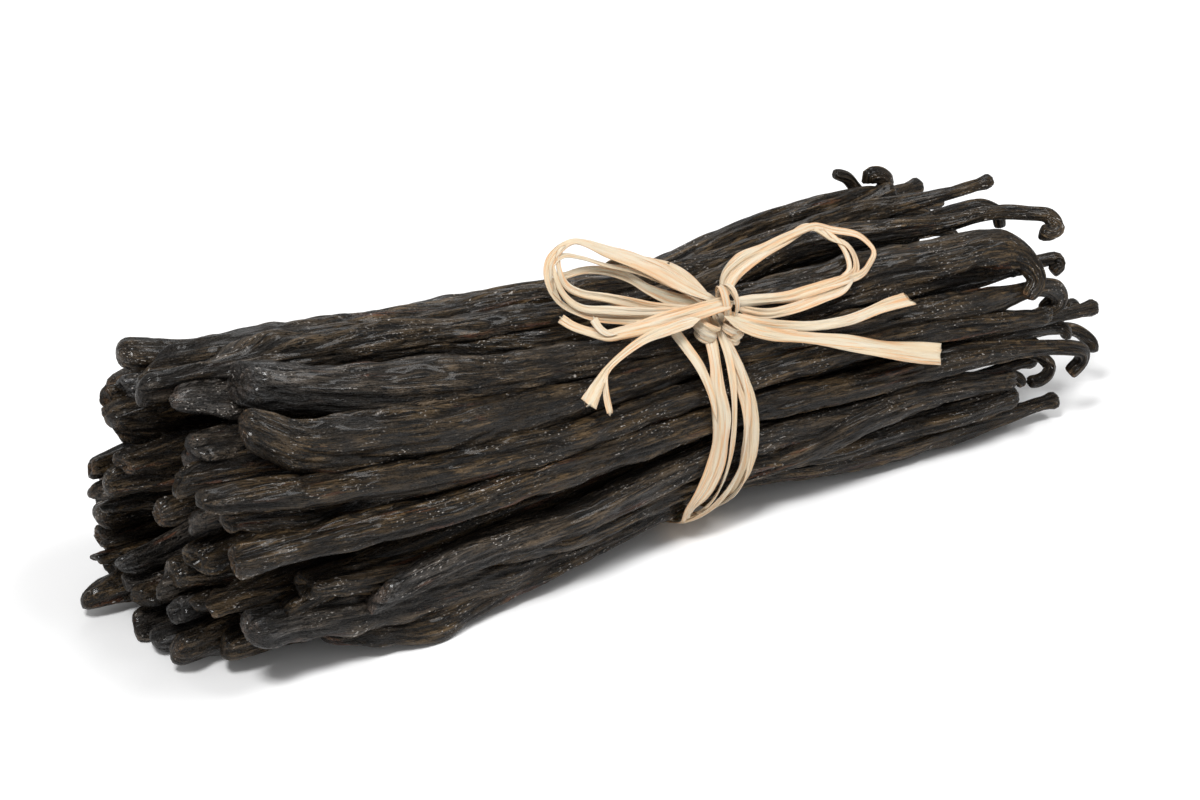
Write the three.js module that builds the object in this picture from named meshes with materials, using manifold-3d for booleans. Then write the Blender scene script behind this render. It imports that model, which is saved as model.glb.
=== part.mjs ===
// A bundle of cured vanilla pods, tied round the waist with one length of raffia in a bow.
// Millimetres, +Z up. The pods run along X: thick blossom ends at -X, thin stem ends at +X.
// A place in the bundle is (x, angle, sink): angle goes round from the front (-Y) up over the top,
// and sink is the depth below the centre lines of the outermost pods.
import * as THREE from 'three';
import { mergeVertices } from 'three/addons/utils/BufferGeometryUtils.js';
import Module from 'manifold-3d';

const wasm = await Module();
wasm.setup();

// ---- driving dimensions ----
const WAIST_X = 14;            // where the raffia pulls the bundle in
const WAIST_POD = 5.2;         // pod thickness under the raffia
const STEM_POD = 3.3;          // pod thickness at the stem end
const CURL_POD = 2.4;          // thickness of the curled stalk
const BUNDLE = {               // centre lines of the outermost pods along the bundle
  x: [-100, -60, -20, 14, 60, 95],
  halfWidth: [26, 25, 23, 18.9, 20.5, 22.5],
  halfHeight: [24.2, 23.3, 21.2, 17.4, 19.4, 20.6],
  middle: [27.5, 26.5, 24.6, 22.6, 22, 22],
};
const SAG = 2.9;               // superellipse power of the lower half, which lies flattened
const RING_PITCH = 4.9;        // depth from one ring of pods to the next
const CORE_FROM = -72;
const CORE_TO = 64;
const CORE_SINK = 3.2;
const CORE_SIDES = 16;
const SHOWN_SIDES = 6;
const HIDDEN_SIDES = 5;
const POD_STEPS = 40;          // places along a pod, of which some carry a section
const REST_Z = 0.4;            // the lowest pods are pressed flat up to here
const GAP = 0.3;               // clearance between the raffia and what it touches
const RAFFIA_THICK = 0.9;
const RIBBON_FACING = new THREE.Vector3(0, -0.75, 0.66);
const TALL = 200;              // larger than the bundle

// Curled stalks, as moves from one point to the next.
const CURLS = {
  none: [],
  crook: [[4.5, 0, 0], [3.5, 0, 1.5], [-1, 0, 2], [-2.5, 0, -0.5]],
  hook: [[5, 0, -2], [2, 0, -3], [-1.5, 0, -1], [-2.5, 0, 1]],
  cane: [[6, 0, -2], [4, 0, -4], [1, 0, -4], [-1.5, 0, -3]],
  up: [[3, 0, 1], [0.5, 0, 2.5], [-2.5, 0, 1.5]],
  back: [[1.5, 1, 2], [-1, 1, 2], [-3, 0, 2]],
  down: [[3, -0.5, -2], [0.5, 0, -3], [-1, 0, -3]],
};

// Outermost pods that show: name, blossom stations, angle at the waist, stem stations,
// thickness at the blossom end, thickness of the neck, curl.
const OUTER = [
  ['ridge', [[-86, 122, 0], [-60, 115, 2]], 118, [[35, 125, -2], [58, 124, -2.7]], 7, 4.6, 'crook'],
  ['crown', [[-83, 110, 0], [-64, 101, 0], [-40, 98, 0]], 98,
    [[38, 102, 0], [57, 104, 0], [82, 93, 0]], 9, 4.6, 'none'],
  ['strap', [[-90, 83, 0], [-67, 87, 0], [-42, 84, 0], [-18, 76, 0]], 80,
    [[39, 90, 0], [60, 77, 0], [81, 64, 0]], 6.4, 4.4, 'hook'],
  ['shade', [[-66, 95, 4], [-43, 84, 3], [-20, 70, 3]], 67,
    [[33, 60, 0], [53, 57, 0], [68, 51, -2]], 6, 5.6, 'cane'],
  ['slate', [[-75, 75, 0], [-66, 66, 0], [-50, 57, 0], [-30, 51, 0]], 51,
    [[35, 48, 1], [60, 44, 2], [78, 44, 4]], 7.2, 4.4, 'up'],
  ['plump', [[-78, 57, 0], [-70, 42, 0], [-52, 37, 0], [-30, 34, 0]], 38,
    [[40, 32, 0], [66, 28, 0], [80, 26, 2]], 8.6, 5, 'none'],
  ['east', [[-89, 31, 0], [-69, 25, 0], [-43, 18, 0]], 22,
    [[40, 22, 0], [65, 16, 0], [80, 12, 1]], 6.2, 5, 'up'],
  ['ringed', [[-86, 5, 0], [-60, 3, 0], [-30, 3, 0]], 5,
    [[35, 1, 0], [60, 0, 0], [88, -13, 0]], 6.8, 4.8, 'none'],
  ['blue', [[-61, -23, -1], [-44, -21, 0], [-20, -17, 0]], -10,
    [[35, -11, 0], [60, -10, 0], [76, -14, 1]], 7, 4.4, 'down'],
  ['dusk', [[-72, -14, 3], [-50, -25, 3], [-20, -30, 1]], -25,
    [[37, -35, 0], [54, -32, 0], [74, -34, 0]], 6.4, 5, 'none'],
  ['under', [[-83, -27, 1], [-60, -36, 1], [-29, -46, 0]], -38,
    [[28, -22, -0.8], [38, -13, -1], [52, -13, 1], [76, -26, 3]], 7.6, 4.6, 'down'],
  ['keel', [[-68, -50, 0], [-48, -50, -2.5], [-20, -49, -1]], -51,
    [[38, -52, -1.3], [60, -51, -1], [86, -51, -1.2]], 7.4, 5, 'none'],
];

// Outermost pods at the back and below: blossom station, angle at the waist, stem station, curl.
const BACK = [
  [[-87, -45, -1.5], -67, [84, -66, 0], 'none'],
  [[-92, -58, -1], -82, [88, -82, 1], 'up'],
  [[-94, -76, 1], -90, [82, -90, 0], 'none'],
  [[-93, -98, 0], -98, [78, -98, 0], 'none'],
  [[-96, -114, 0], -113, [90, -112, 0], 'hook'],
  [[-92, -127, 0], -130, [82, -129, 0], 'up'],
  [[-90, -142, 0], -148, [88, -146, 0], 'none'],
  [[-86, -156, 0], -164, [80, -162, 0], 'crook'],
  [[-91, -170, 1], -176, [90, -174, 1], 'hook'],
  [[-88, 176, 0], 171, [84, 173, 0], 'up'],
  [[-84, 162, 0], 156, [88, 158, 0], 'none'],
  [[-89, 148, 1], 142, [76, 146, 0], 'crook'],
  [[-86, 132, 3], 130, [62, 136, -1], 'back'],
];

// Ends of the pods inside: [blossom station, stem station, curl] for each ring, from the front round.
const INNER = [
  [
    [[-84, 13, 5], [82, 6, 3], 'none'], [[-88, 44, 7], [92, 4, 1], 'none'],
    [[-85, 62, 8], [76, 56, 4], 'up'], [[-86, 78, 4], [64, 74, 2], 'up'],
    [[-88, 90, 3], [72, 92, 3], 'crook'], [[-87, 112, 6], [66, 118, 2], 'back'],
    [[-88, 138, 5], [84, 136, 4], 'none'], [[-92, 160, 8], [88, 158, 6], 'hook'],
    [[-93, -176, 7], [80, -178, 5], 'none'], [[-92, -150, 8], [90, -156, 5], 'up'],
    [[-91, -140, 5], [84, -134, 5], 'none'], [[-95, -114, 8], [88, -112, 6], 'hook'],
    [[-92, -96, 7], [80, -94, 5], 'none'], [[-90, -80, 6], [86, -70, 4], 'down'],
    [[-92, -62, 6], [88, -52, 4], 'none'], [[-87, -34, 6], [84, -32, 4], 'down'],
    [[-74, -24, 4], [90, -14, 3], 'down'],
  ],
  [
    [[-86, 20, 12], [84, 20, 9], 'none'], [[-86, 50, 13], [90, 40, 9], 'hook'],
    [[-91, 88, 12], [82, 80, 9], 'none'], [[-88, 128, 11], [76, 120, 8], 'up'],
    [[-91, 172, 12], [90, 165, 10], 'none'], [[-93, -160, 13], [84, -160, 10], 'hook'],
    [[-90, -120, 13], [88, -125, 10], 'none'], [[-91, -80, 12], [80, -85, 9], 'up'],
    [[-89, -42, 12], [90, -48, 9], 'none'], [[-85, -10, 11], [86, -12, 8], 'down'],
  ],
  [
    [[-89, 40, 18], [90, 45, 15], 'none'], [[-93, 150, 19], [84, 135, 15], 'up'],
    [[-92, -130, 18], [92, -135, 15], 'none'], [[-90, -50, 17], [86, -45, 14], 'down'],
  ],
];
const INNER_POD = 6.4;
const INNER_NECK = 4.2;

// Raffia, as routes of points [x, y, z] clear of the pods, and the width of each flat strand.
const KNOT = { at: [13.5, -13.6, 42.2], half: [4.6, 3.2, 3.6] };
const BAND = { width: 11, clear: 3.6 };
const RIBBONS = {
  bow_loop_left: { width: 5, turns: [[12, -12, 44.3], [5, -6, 48.8], [-3, -4, 52], [-9, -4, 55.5],
    [-14, -5, 57], [-17.5, -7, 55], [-17.5, -8, 51], [-14, -9.2, 48.6], [-8, -10.8, 46.8],
    [1, -12.4, 44.8], [10, -13.5, 43]] },
  bow_loop_right: { width: 4, turns: [[16, -12, 43.5], [21, -8, 45.6], [28, -6, 47.4],
    [37, -6, 48.8], [43, -6.5, 47.5], [47.5, -8.5, 44.5], [47, -11, 42], [42, -13.4, 40.8],
    [34, -14, 40.6], [25, -13.6, 41], [17, -13.5, 42]] },
  tail_left_upper: { width: 4, turns: [[12, -15.2, 41.8], [4, -15.5, 42.4], [-5, -15.6, 43],
    [-11, -14.8, 44.8], [-17, -12, 47.6]] },
  tail_left_lower: { width: 3.4, turns: [[8, -17.4, 40], [-1, -18, 41], [-8, -19.4, 40.6],
    [-13.5, -22, 39.4], [-17, -25, 35.6]] },
  tail_right_upper: { width: 3.6, turns: [[15, -16, 40.4], [22, -18.6, 38.4], [30, -19.6, 37.2],
    [40, -20, 36.6], [51, -19.4, 36.4]] },
  tail_right_lower: { width: 4.4, turns: [[14.5, -17, 38.8], [21, -20.4, 36], [30, -22.4, 34],
    [41, -24, 30.4], [54, -24.8, 26.4]] },
};

// ---- the bundle's shape ----
/** The value of a row of BUNDLE at x, straight between its stations. */
function along(row, x) {
  const xs = BUNDLE.x;
  let i = 1;
  while (i < xs.length - 1 && x > xs[i]) i += 1;
  const share = (x - xs[i - 1]) / (xs[i] - xs[i - 1]);
  return row[i - 1] + (row[i] - row[i - 1]) * share;
}

/** The point at x, round by angle degrees from the front, and sink below the outer centre lines. */
function place(x, angle, sink) {
  const turn = THREE.MathUtils.degToRad(angle);
  const c = Math.cos(turn);
  const s = Math.sin(turn);
  const power = s >= 0 ? 1 : 2 / SAG;
  const y = -(along(BUNDLE.halfWidth, x) - sink) * Math.sign(c) * Math.abs(c) ** power;
  const up = (along(BUNDLE.halfHeight, x) - sink) * Math.sign(s) * Math.abs(s) ** power;
  return new THREE.Vector3(x, y, along(BUNDLE.middle, x) + up);
}

/** A three.js geometry as a manifold-3d solid. */
function toSolid(geometry) {
  const bare = geometry.clone();
  bare.deleteAttribute('normal');
  bare.deleteAttribute('uv');
  const merged = mergeVertices(bare, 1e-4);
  return new wasm.Manifold(new wasm.Mesh({
    numProp: 3,
    vertProperties: new Float32Array(merged.attributes.position.array),
    triVerts: new Uint32Array(merged.index.array),
  }));
}

/** A manifold-3d solid as a three.js geometry. */
function toGeometry(solid) {
  const mesh = solid.getMesh();
  const geometry = new THREE.BufferGeometry();
  geometry.setAttribute('position', new THREE.BufferAttribute(new Float32Array(mesh.vertProperties), 3));
  geometry.setIndex(new THREE.BufferAttribute(new Uint32Array(mesh.triVerts), 1));
  geometry.computeVertexNormals();
  return geometry;
}

/** The largest body of a solid, which leaves out closed hollows and crumbs. */
function largestBody(solid) {
  return solid.decompose().reduce((best, body) => (body.volume() > best.volume() ? body : best));
}

/** The sum of many solids. */
function joined(solids) {
  return solids.reduce((sum, solid) => sum.add(solid));
}

// ---- pods ----
/** The curve through a pod's stations and its curled stalk. */
function podCurve(stations, curl) {
  const points = stations.map((station) => place(...station));
  CURLS[curl].forEach((move) => {
    points.push(points[points.length - 1].clone().add(new THREE.Vector3(...move)));
  });
  return new THREE.CatmullRomCurve3(points, false, 'centripetal');
}

/** Pod thickness at x: full at the blossom end, WAIST_POD under the raffia, then the neck. */
function podThickness(x, blossom, neck) {
  const fat = THREE.MathUtils.smoothstep(-x, -WAIST_X, 55);
  const thin = THREE.MathUtils.smoothstep(x, 60, 84);
  const rise = THREE.MathUtils.smoothstep(x, WAIST_X, 40);
  const body = WAIST_POD + (blossom - WAIST_POD) * fat + (neck - WAIST_POD) * rise;
  return body + (STEM_POD - neck) * thin;
}

/** A lathed blank bent along a curve: one ring of vertices at each [share, radius]. */
function bentBlank(curve, rings, sides) {
  const profile = [new THREE.Vector2(0, 0)];
  rings.forEach(([, radius], row) => profile.push(new THREE.Vector2(radius, row)));
  profile.push(new THREE.Vector2(0, rings.length - 1));
  const blank = new THREE.LatheGeometry(profile, sides);
  const frames = curve.computeFrenetFrames(POD_STEPS, false);
  const position = blank.attributes.position;
  for (let i = 0; i < position.count; i += 1) {
    const step = rings[Math.round(position.getY(i))][0];
    const point = curve.getPointAt(step / POD_STEPS)
      .addScaledVector(frames.binormals[step], position.getX(i))
      .addScaledVector(frames.normals[step], position.getZ(i));
    position.setXYZ(i, point.x, point.y, point.z);
  }
  return blank;
}

/** One pod, whole or only the steps given, fatter all round by swell. */
function podSolid(stations, curl, blossom, neck, part, sides, swell = 0) {
  const curve = podCurve(stations, curl);
  const curled = CURLS[curl].length > 0;
  const steps = [...part, ...(part === BLOSSOM_END ? [] : STEM_STEPS[curled])];
  const rings = steps.map((step) => {
    const share = step / POD_STEPS;
    const stalk = curled ? THREE.MathUtils.smoothstep(share, 0.86, 0.93) : 0;
    const full = podThickness(curve.getPointAt(share).x, blossom, neck);
    const blunt = step === 0 ? 0.62 : 1;
    return [step, (full * (1 - stalk) + CURL_POD * stalk) * blunt / 2 + swell];
  });
  return toSolid(bentBlank(curve, rings, sides));
}

const WHOLE = [0, 2, 9, 17, 26];
const BLOSSOM_END = [0, 9];
const STEM_END = [30];
const STEM_STEPS = { true: [34, 37, 38, 39, 40], false: [33, 40] };

/** The outermost pods, one solid each. */
function outerPods(swell) {
  const shown = OUTER.map(([, blossom, waist, stem, thick, neck, curl]) => podSolid(
    [...blossom, [WAIST_X, waist, 0], ...stem], curl, thick, neck, WHOLE, SHOWN_SIDES, swell));
  const hidden = BACK.map(([blossom, waist, stem, curl], i) => podSolid(
    [blossom, [-50, (blossom[1] + waist) / 2, 0], [WAIST_X, waist, 0], [50, waist, 0], stem],
    curl, 6.6 + (i % 3) * 0.5, 4.8, WHOLE, HIDDEN_SIDES, swell));
  return [...shown, ...hidden];
}

/** The ends of the pods inside, which run on into the core. */
function innerEnds() {
  const solids = [];
  INNER.forEach((ring, depth) => ring.forEach(([blossom, stem, curl], i) => {
    const waist = (360 / ring.length) * i + 10;
    const middle = [WAIST_X, waist, RING_PITCH * (depth + 1)];
    const thick = INNER_POD + (i % 4) * 0.4;
    solids.push(podSolid([blossom, middle, stem], curl, thick, INNER_NECK, BLOSSOM_END, HIDDEN_SIDES));
    solids.push(podSolid([blossom, middle, stem], curl, thick, INNER_NECK, STEM_END, HIDDEN_SIDES));
  }));
  return solids;
}

/** The close-packed middle of the bundle, under the outermost pods. */
function coreSolid() {
  const rows = [[CORE_FROM, CORE_SINK + 1], [-50, CORE_SINK], [WAIST_X, 2.4], [40, 2.6], [CORE_TO, 4.5]];
  const profile = [new THREE.Vector2(0, 0)];
  rows.forEach((row, i) => profile.push(new THREE.Vector2(1, i)));
  profile.push(new THREE.Vector2(0, rows.length - 1));
  const blank = new THREE.LatheGeometry(profile, CORE_SIDES);
  const position = blank.attributes.position;
  for (let i = 0; i < position.count; i += 1) {
    const [x, sink] = rows[Math.round(position.getY(i))];
    const reach = Math.hypot(position.getX(i), position.getZ(i));
    const angle = THREE.MathUtils.radToDeg(Math.atan2(-position.getX(i), position.getZ(i)));
    const outer = place(x, angle, sink);
    const middle = new THREE.Vector3(x, 0, along(BUNDLE.middle, x));
    const point = middle.lerp(outer, Math.min(reach, 1));
    position.setXYZ(i, point.x, point.y, point.z);
  }
  return toSolid(blank);
}

/** Cuts away what lies under the resting plane, so that the lowest pods lie on small flats. */
function levelled(solid) {
  const below = new THREE.BoxGeometry(2 * TALL, TALL, TALL).translate(0, 0, REST_Z - TALL / 2);
  return solid.subtract(toSolid(below));
}

// ---- raffia ----
/** A flat strand: a box bent along the route, its wide side turned to RIBBON_FACING. */
function ribbonSolid({ width, turns }, swell = 0) {
  const curve = new THREE.CatmullRomCurve3(turns.map((turn) => new THREE.Vector3(...turn)), false, 'centripetal');
  const steps = Math.round(1.5 * turns.length);
  const blank = new THREE.BoxGeometry(width + 2 * swell, RAFFIA_THICK + 2 * swell, steps, 1, 1, steps);
  const position = blank.attributes.position;
  for (let i = 0; i < position.count; i += 1) {
    const share = (position.getZ(i) + steps / 2) / steps;
    const centre = curve.getPointAt(share);
    const ahead = curve.getTangentAt(share);
    const across = new THREE.Vector3().crossVectors(ahead, RIBBON_FACING).normalize();
    const face = new THREE.Vector3().crossVectors(across, ahead);
    const point = centre.addScaledVector(across, position.getX(i)).addScaledVector(face, -position.getY(i));
    position.setXYZ(i, point.x, point.y, point.z);
  }
  return toSolid(blank);
}

/** The band round the waist: two superelliptic rings of one section, closed on itself. */
function bandSolid(swell = 0) {
  const sides = 24;
  const half = BAND.width / 2 + swell;
  const low = -swell;
  const high = RAFFIA_THICK + swell;
  const section = [[low, -half], [high, -half], [high, half], [low, half], [low, -half]];
  const blank = new THREE.LatheGeometry(section.map(([depth, x]) => new THREE.Vector2(depth + 5, x)), sides);
  const position = blank.attributes.position;
  for (let i = 0; i < position.count; i += 1) {
    const angle = THREE.MathUtils.radToDeg(Math.atan2(-position.getX(i), position.getZ(i)));
    const depth = Math.hypot(position.getX(i), position.getZ(i)) - 5;
    const ring = place(WAIST_X, angle, -BAND.clear - depth);
    position.setXYZ(i, ring.x - 2.5 + position.getY(i), ring.y, ring.z);
  }
  return toSolid(blank);
}

/** The knot, a flattened ball. */
function knotSolid(swell = 0) {
  const [x, y, z] = KNOT.half;
  const ball = new THREE.SphereGeometry(1, 10, 6).scale(x + swell, y + swell, z + swell);
  return toSolid(ball.translate(...KNOT.at));
}

/** Every raffia piece, each cut clear of the bundle and of the pieces made before it. */
function raffiaSolids(bundleRoom) {
  const made = { tie_knot: largestBody(knotSolid().subtract(bundleRoom)) };
  let taken = bundleRoom.add(knotSolid(GAP));
  made.tie_band = largestBody(bandSolid().subtract(taken));
  taken = taken.add(bandSolid(GAP));
  Object.entries(RIBBONS).forEach(([name, ribbon]) => {
    made[name] = largestBody(ribbonSolid(ribbon).subtract(taken));
    taken = taken.add(ribbonSolid(ribbon, GAP));
  });
  return made;
}

// ---- the part ----
const podSkin = new THREE.MeshStandardMaterial({ color: 0x2a211c, roughness: 0.5, metalness: 0 });
const raffiaSkin = new THREE.MeshStandardMaterial({ color: 0xecd2a8, roughness: 0.7, metalness: 0 });

const core = coreSolid();
const bundle = largestBody(levelled(joined([core, ...outerPods(0), ...innerEnds()])));
const raffia = raffiaSolids(joined([core, ...outerPods(GAP)]));

const group = new THREE.Group();
const bundleMesh = new THREE.Mesh(toGeometry(bundle), podSkin);
bundleMesh.name = 'pod_bundle';
group.add(bundleMesh);
Object.entries(raffia).forEach(([name, solid]) => {
  const mesh = new THREE.Mesh(toGeometry(solid), raffiaSkin.clone());
  mesh.name = name;
  group.add(mesh);
});

const box = new THREE.Box3().setFromObject(group);
const middle = box.getCenter(new THREE.Vector3());
group.position.set(-middle.x, -middle.y, -box.min.z);

export default group;
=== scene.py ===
"""A bundle of cured vanilla pods, tied round the waist with raffia in a bow.

The pods run along X, with their thick blossom ends at -X and their thin stem ends at +X. The tables
below are in millimetres in the bundle's own frame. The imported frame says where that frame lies, and
every mesh is written in metres in the row frame, with its object at the origin.
"""

from __future__ import annotations

import logging
import math
from dataclasses import dataclass, field
from enum import Enum

import bpy
import numpy as np
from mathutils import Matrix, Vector

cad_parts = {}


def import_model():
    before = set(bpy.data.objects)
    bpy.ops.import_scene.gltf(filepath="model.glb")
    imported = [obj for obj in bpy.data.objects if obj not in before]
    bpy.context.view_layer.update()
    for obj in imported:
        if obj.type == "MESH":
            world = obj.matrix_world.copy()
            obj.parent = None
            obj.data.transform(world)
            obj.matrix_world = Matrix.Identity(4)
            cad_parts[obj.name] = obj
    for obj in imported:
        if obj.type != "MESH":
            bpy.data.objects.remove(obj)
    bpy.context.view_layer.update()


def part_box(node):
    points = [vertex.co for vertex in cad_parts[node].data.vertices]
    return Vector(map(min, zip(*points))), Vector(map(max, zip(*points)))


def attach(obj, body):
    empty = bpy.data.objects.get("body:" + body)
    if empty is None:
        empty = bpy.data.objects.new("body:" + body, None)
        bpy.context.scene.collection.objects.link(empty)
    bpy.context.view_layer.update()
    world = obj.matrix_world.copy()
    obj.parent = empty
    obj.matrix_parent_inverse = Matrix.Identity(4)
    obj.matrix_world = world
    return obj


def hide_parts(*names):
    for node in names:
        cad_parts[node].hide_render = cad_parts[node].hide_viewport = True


Array = np.ndarray
Random = np.random.Generator
Material = bpy.types.Material
Piece = bpy.types.Object
Socket = bpy.types.NodeSocket
Triple = tuple[float, float, float]
log = logging.getLogger("vanilla_bundle")

MM = 0.001
TURN = 2 * math.pi
WAIST_X = 14.0              # where the raffia pulls the bundle in
BAND_MIDDLE_X = 11.5        # middle of the band's width along the bundle
SAG = 2.9                   # superellipse power of the lower half, which lies flattened
RING_PITCH = 4.9            # depth from one ring of pods to the next
WAIST_POD = 5.2             # pod thickness under the raffia
STEM_POD = 2.2              # pod thickness at the stem end
CURL_POD = 2.4              # thickness of the curled stalk
REST_Z = 0.4                # the lowest pods are pressed flat up to here
FULL_HALF = 2.6             # half thickness at which wrinkles and rings have their full size
PROFILE = {                 # centre lines of the outermost pods along the bundle
    "x": (-100, -60, -20, 14, 60, 95),
    "half_width": (26, 25, 23, 18.9, 20.5, 22.5),
    "half_height": (24.2, 23.3, 21.2, 17.4, 19.4, 20.6),
    "middle": (27.5, 26.5, 24.6, 22.6, 22, 22),
}


class Curl(Enum):
    """How a stalk ends: moves from one point to the next, in millimetres."""

    NONE = ()
    CROOK = ((3.9, 0.3, -1), (1.9, 0.4, 1.3), (-1.5, 0.4, 1.8), (-2.1, 0.2, 0.2), (0.2, 0, -1.3))
    STRAP = ((4, -2, -0.8), (0.6, -2.2, -1.6), (-2.1, -0.4, -0.5), (-1.5, 0.9, 0.6))
    CANE = ((4.9, -2.2, -0.8), (2.8, -2.4, -2.3), (0.2, -1.9, -2.8), (-2.6, -0.7, -2.4))
    ARCH = ((6, -1, -0.3), (2.5, -1, -1.7), (0.1, -1, -2.9))
    OPEN = ((5.8, -2, 0.7), (3.6, -1, 0.1), (0.2, -1, -1.3), (-1.8, 0, -1.2))
    SNUB = ((2.6, -0.5, -1.5), (0.2, -0.5, -1.9))
    GREY = ((3.7, 0.5, -2.4), (0.6, 0.5, -2.6), (-2.2, 1, -2.3))
    UP = ((5.7, 1, 1.2), (1.7, 0, 1.6), (1.9, 0, -1.2))
    BACK = ((-0.8, 0.5, 2), (-1.5, 0.5, 2), (-2.6, 0.5, 1.2))
    DOWN = ((0.8, 1, -2.9), (-2.4, 0.5, -2.0))
    OVER = ((4.1, -1, -0.9), (2.1, -2, -2.4), (-0.7, -1, -1.4))
    UNDER = ((3.1, -3, -2.2), (-1.1, -1, -1.3), (-2, 0, -0.9), (-2.3, 0, 0.2))
    NUB = ((2.2, -1, -1.2), (0.3, 0, -1.3))


class Tip(Enum):
    """The outline of a pod's end as (axial, radial) places in units of its radius, pole first."""

    ROUND = ((0.0, 0.0), (0.03, 0.26), (0.12, 0.5), (0.27, 0.7), (0.47, 0.86), (0.72, 0.96), (1.0, 1.0))
    BLUNT = ((0.10, 0.0), (0.05, 0.3), (0.03, 0.5), (0.08, 0.7), (0.22, 0.86), (0.52, 0.96), (1.0, 1.0))
    PITTED = ((0.6, 0.0), (0.45, 0.24), (0.14, 0.44), (0.0, 0.6), (0.06, 0.78), (0.28, 0.94), (0.8, 1.02))
    NARROW = ((0.0, 0.0), (0.05, 0.26), (0.2, 0.5), (0.6, 0.7), (1.3, 0.84), (2.2, 0.94), (3.2, 1.0))
    KNOB = ((0.0, 0.0), (0.05, 0.5), (0.22, 0.95), (0.6, 1.26), (1.2, 1.34), (2.1, 1.16), (3.2, 1.0))


class Tint(Enum):
    """A pod's shares of painted bluish slate sheen, strongest near the blossom tip, and of red-brown."""

    BROWN = (0.15, 0.2)
    SLATE_SHEEN = (0.95, 0.0)
    DUSKY = (0.5, 0.1)
    RUDDY = (0.05, 0.8)


@dataclass(frozen=True)
class Pod:
    """One pod: its stations (x, angle, sink) from blossom to stem, and how it looks."""

    stations: tuple[Triple, ...]
    thick: float
    neck: float
    curl: Curl = Curl.NONE
    tip: Tip = Tip.ROUND
    tint: Tint = Tint.BROWN
    flat: float = 0.16
    fold: float = 0.0
    twist: float = 0.0
    slant: float = 0.3
    stalk: float = CURL_POD
    fade: tuple[float, float] = (0.86, 0.93)
    slim: float = 58.0
    taper: float = 0.24
    crook: float = 0.0


@dataclass(frozen=True)
class Detail:
    """How finely a pod is made: faces round it, and millimetres from ring to ring."""

    around: int
    step: float
    buried: float = 1.0         # how much sparser the rings are where other pods cover them


FINE = Detail(68, 0.9)
MEDIUM = Detail(44, 1.4)
COARSE = Detail(40, 1.2, 3.0)
DEEP = Detail(34, 1.4, 3.0)


@dataclass(frozen=True)
class Ends:
    """The stations where a less visible pod begins and ends, and its angle at the waist."""

    blossom: Triple
    stem: Triple
    curl: Curl = Curl.NONE
    waist: float = 0.0


def shown(blossom: tuple, waist: float, stem: tuple, thick: float, neck: float,
          curl: Curl = Curl.NONE, **looks: object) -> Pod:
    """An outermost pod that crosses the waist at the angle given."""
    return Pod((*blossom, (WAIST_X, waist, 0), *stem), thick, neck, curl, **looks)


TOP_PODS = (
    shown(((-85, 127, -1.2), (-60, 115, 5), (-30, 116, 2.5)), 118,
          ((35, 125, -2), (54, 124, -2.5), (61.8, 124, -2.3)),
          6.4, 4.8, Curl.CROOK, tip=Tip.ROUND, twist=150, fold=0.3, stalk=2.7, taper=-0.1, slant=0.1),
    shown(((-83, 110, 1), (-64, 101, 3.2), (-38, 98, 3.4), (-14, 97, 1.6)), 98,
          ((38, 102, 0), (56, 103, 0), (64, 96, -0.4), (73, 91, -1), (81.2, 90, -0.9)),
          8.6, 5, tip=Tip.BLUNT, fold=0.5, flat=0.2, slant=0.9, slim=50, taper=0.1),
    shown(((-90, 83, 0), (-67, 87, 1.6), (-42, 84, 1.8), (-18, 76, 1)), 80,
          ((39, 90, 0), (54.3, 81, 0), (66.3, 74, 0), (73.7, 69, -1), (80.3, 62, -1.4)),
          6.8, 4.6, Curl.STRAP, fold=0.42, flat=0.4, twist=200, tint=Tint.DUSKY, stalk=2.7,
          fade=(0.82, 0.9)),
)
SHOULDER_PODS = (
    shown(((-66, 95, 4), (-43, 84, 3), (-20, 70, 3)), 67,
          ((33, 60, 0), (48.8, 56, 0), (56.8, 55, -0.4), (62.3, 53, -1.5), (67.9, 51, -2.3)),
          6, 7.2, Curl.CANE, stalk=3.0, fade=(0.9, 1.0), slim=68),
    shown(((-75, 75, 0), (-66, 66, 0), (-50, 57, 0), (-30, 51, 0)), 51,
          ((35, 48, 1), (60, 44, 2), (78, 38, 4.5)),
          8.4, 4.8, tip=Tip.BLUNT, tint=Tint.SLATE_SHEEN, slant=0.6, fold=0.22, flat=0.08, taper=0.0),
    shown(((-78, 57, 0), (-70, 42, 0), (-52, 37, 0), (-30, 34, 0)), 38,
          ((40, 32, 0), (66, 28, 0), (80, 26, 2)),
          9.8, 5.4, Curl.GREY, slant=0.5, flat=0.08, stalk=3.4, taper=0.4, slim=66),
)
FRONT_PODS = (
    shown(((-89, 31, 0), (-69, 25, 0), (-43, 18, 0)), 22, ((40, 22, 0), (65, 15, 0.5), (80, 8, 2)),
          6.6, 5.4, fold=0.4, flat=0.35, slant=0.6),
    shown(((-86, 5, 0), (-60, 3, 0), (-30, 3, 0)), 5,
          ((35, 1, 0), (60, 1, -0.5), (77.8, -2, -1), (86.3, -8, -0.7)),
          5.4, 5, Curl.DOWN, tip=Tip.PITTED, tint=Tint.RUDDY, flat=0.2, stalk=3.0, taper=0.05, slant=0.1),
    shown(((-61, -23, -1), (-44, -21, 0), (-20, -17, 0)), -10, ((35, -11, 0), (60, -10, 0), (73, -16, 1)),
          7.6, 4.8, tint=Tint.SLATE_SHEEN, slant=0.7, flat=0.25, taper=0.1),
)
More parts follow.
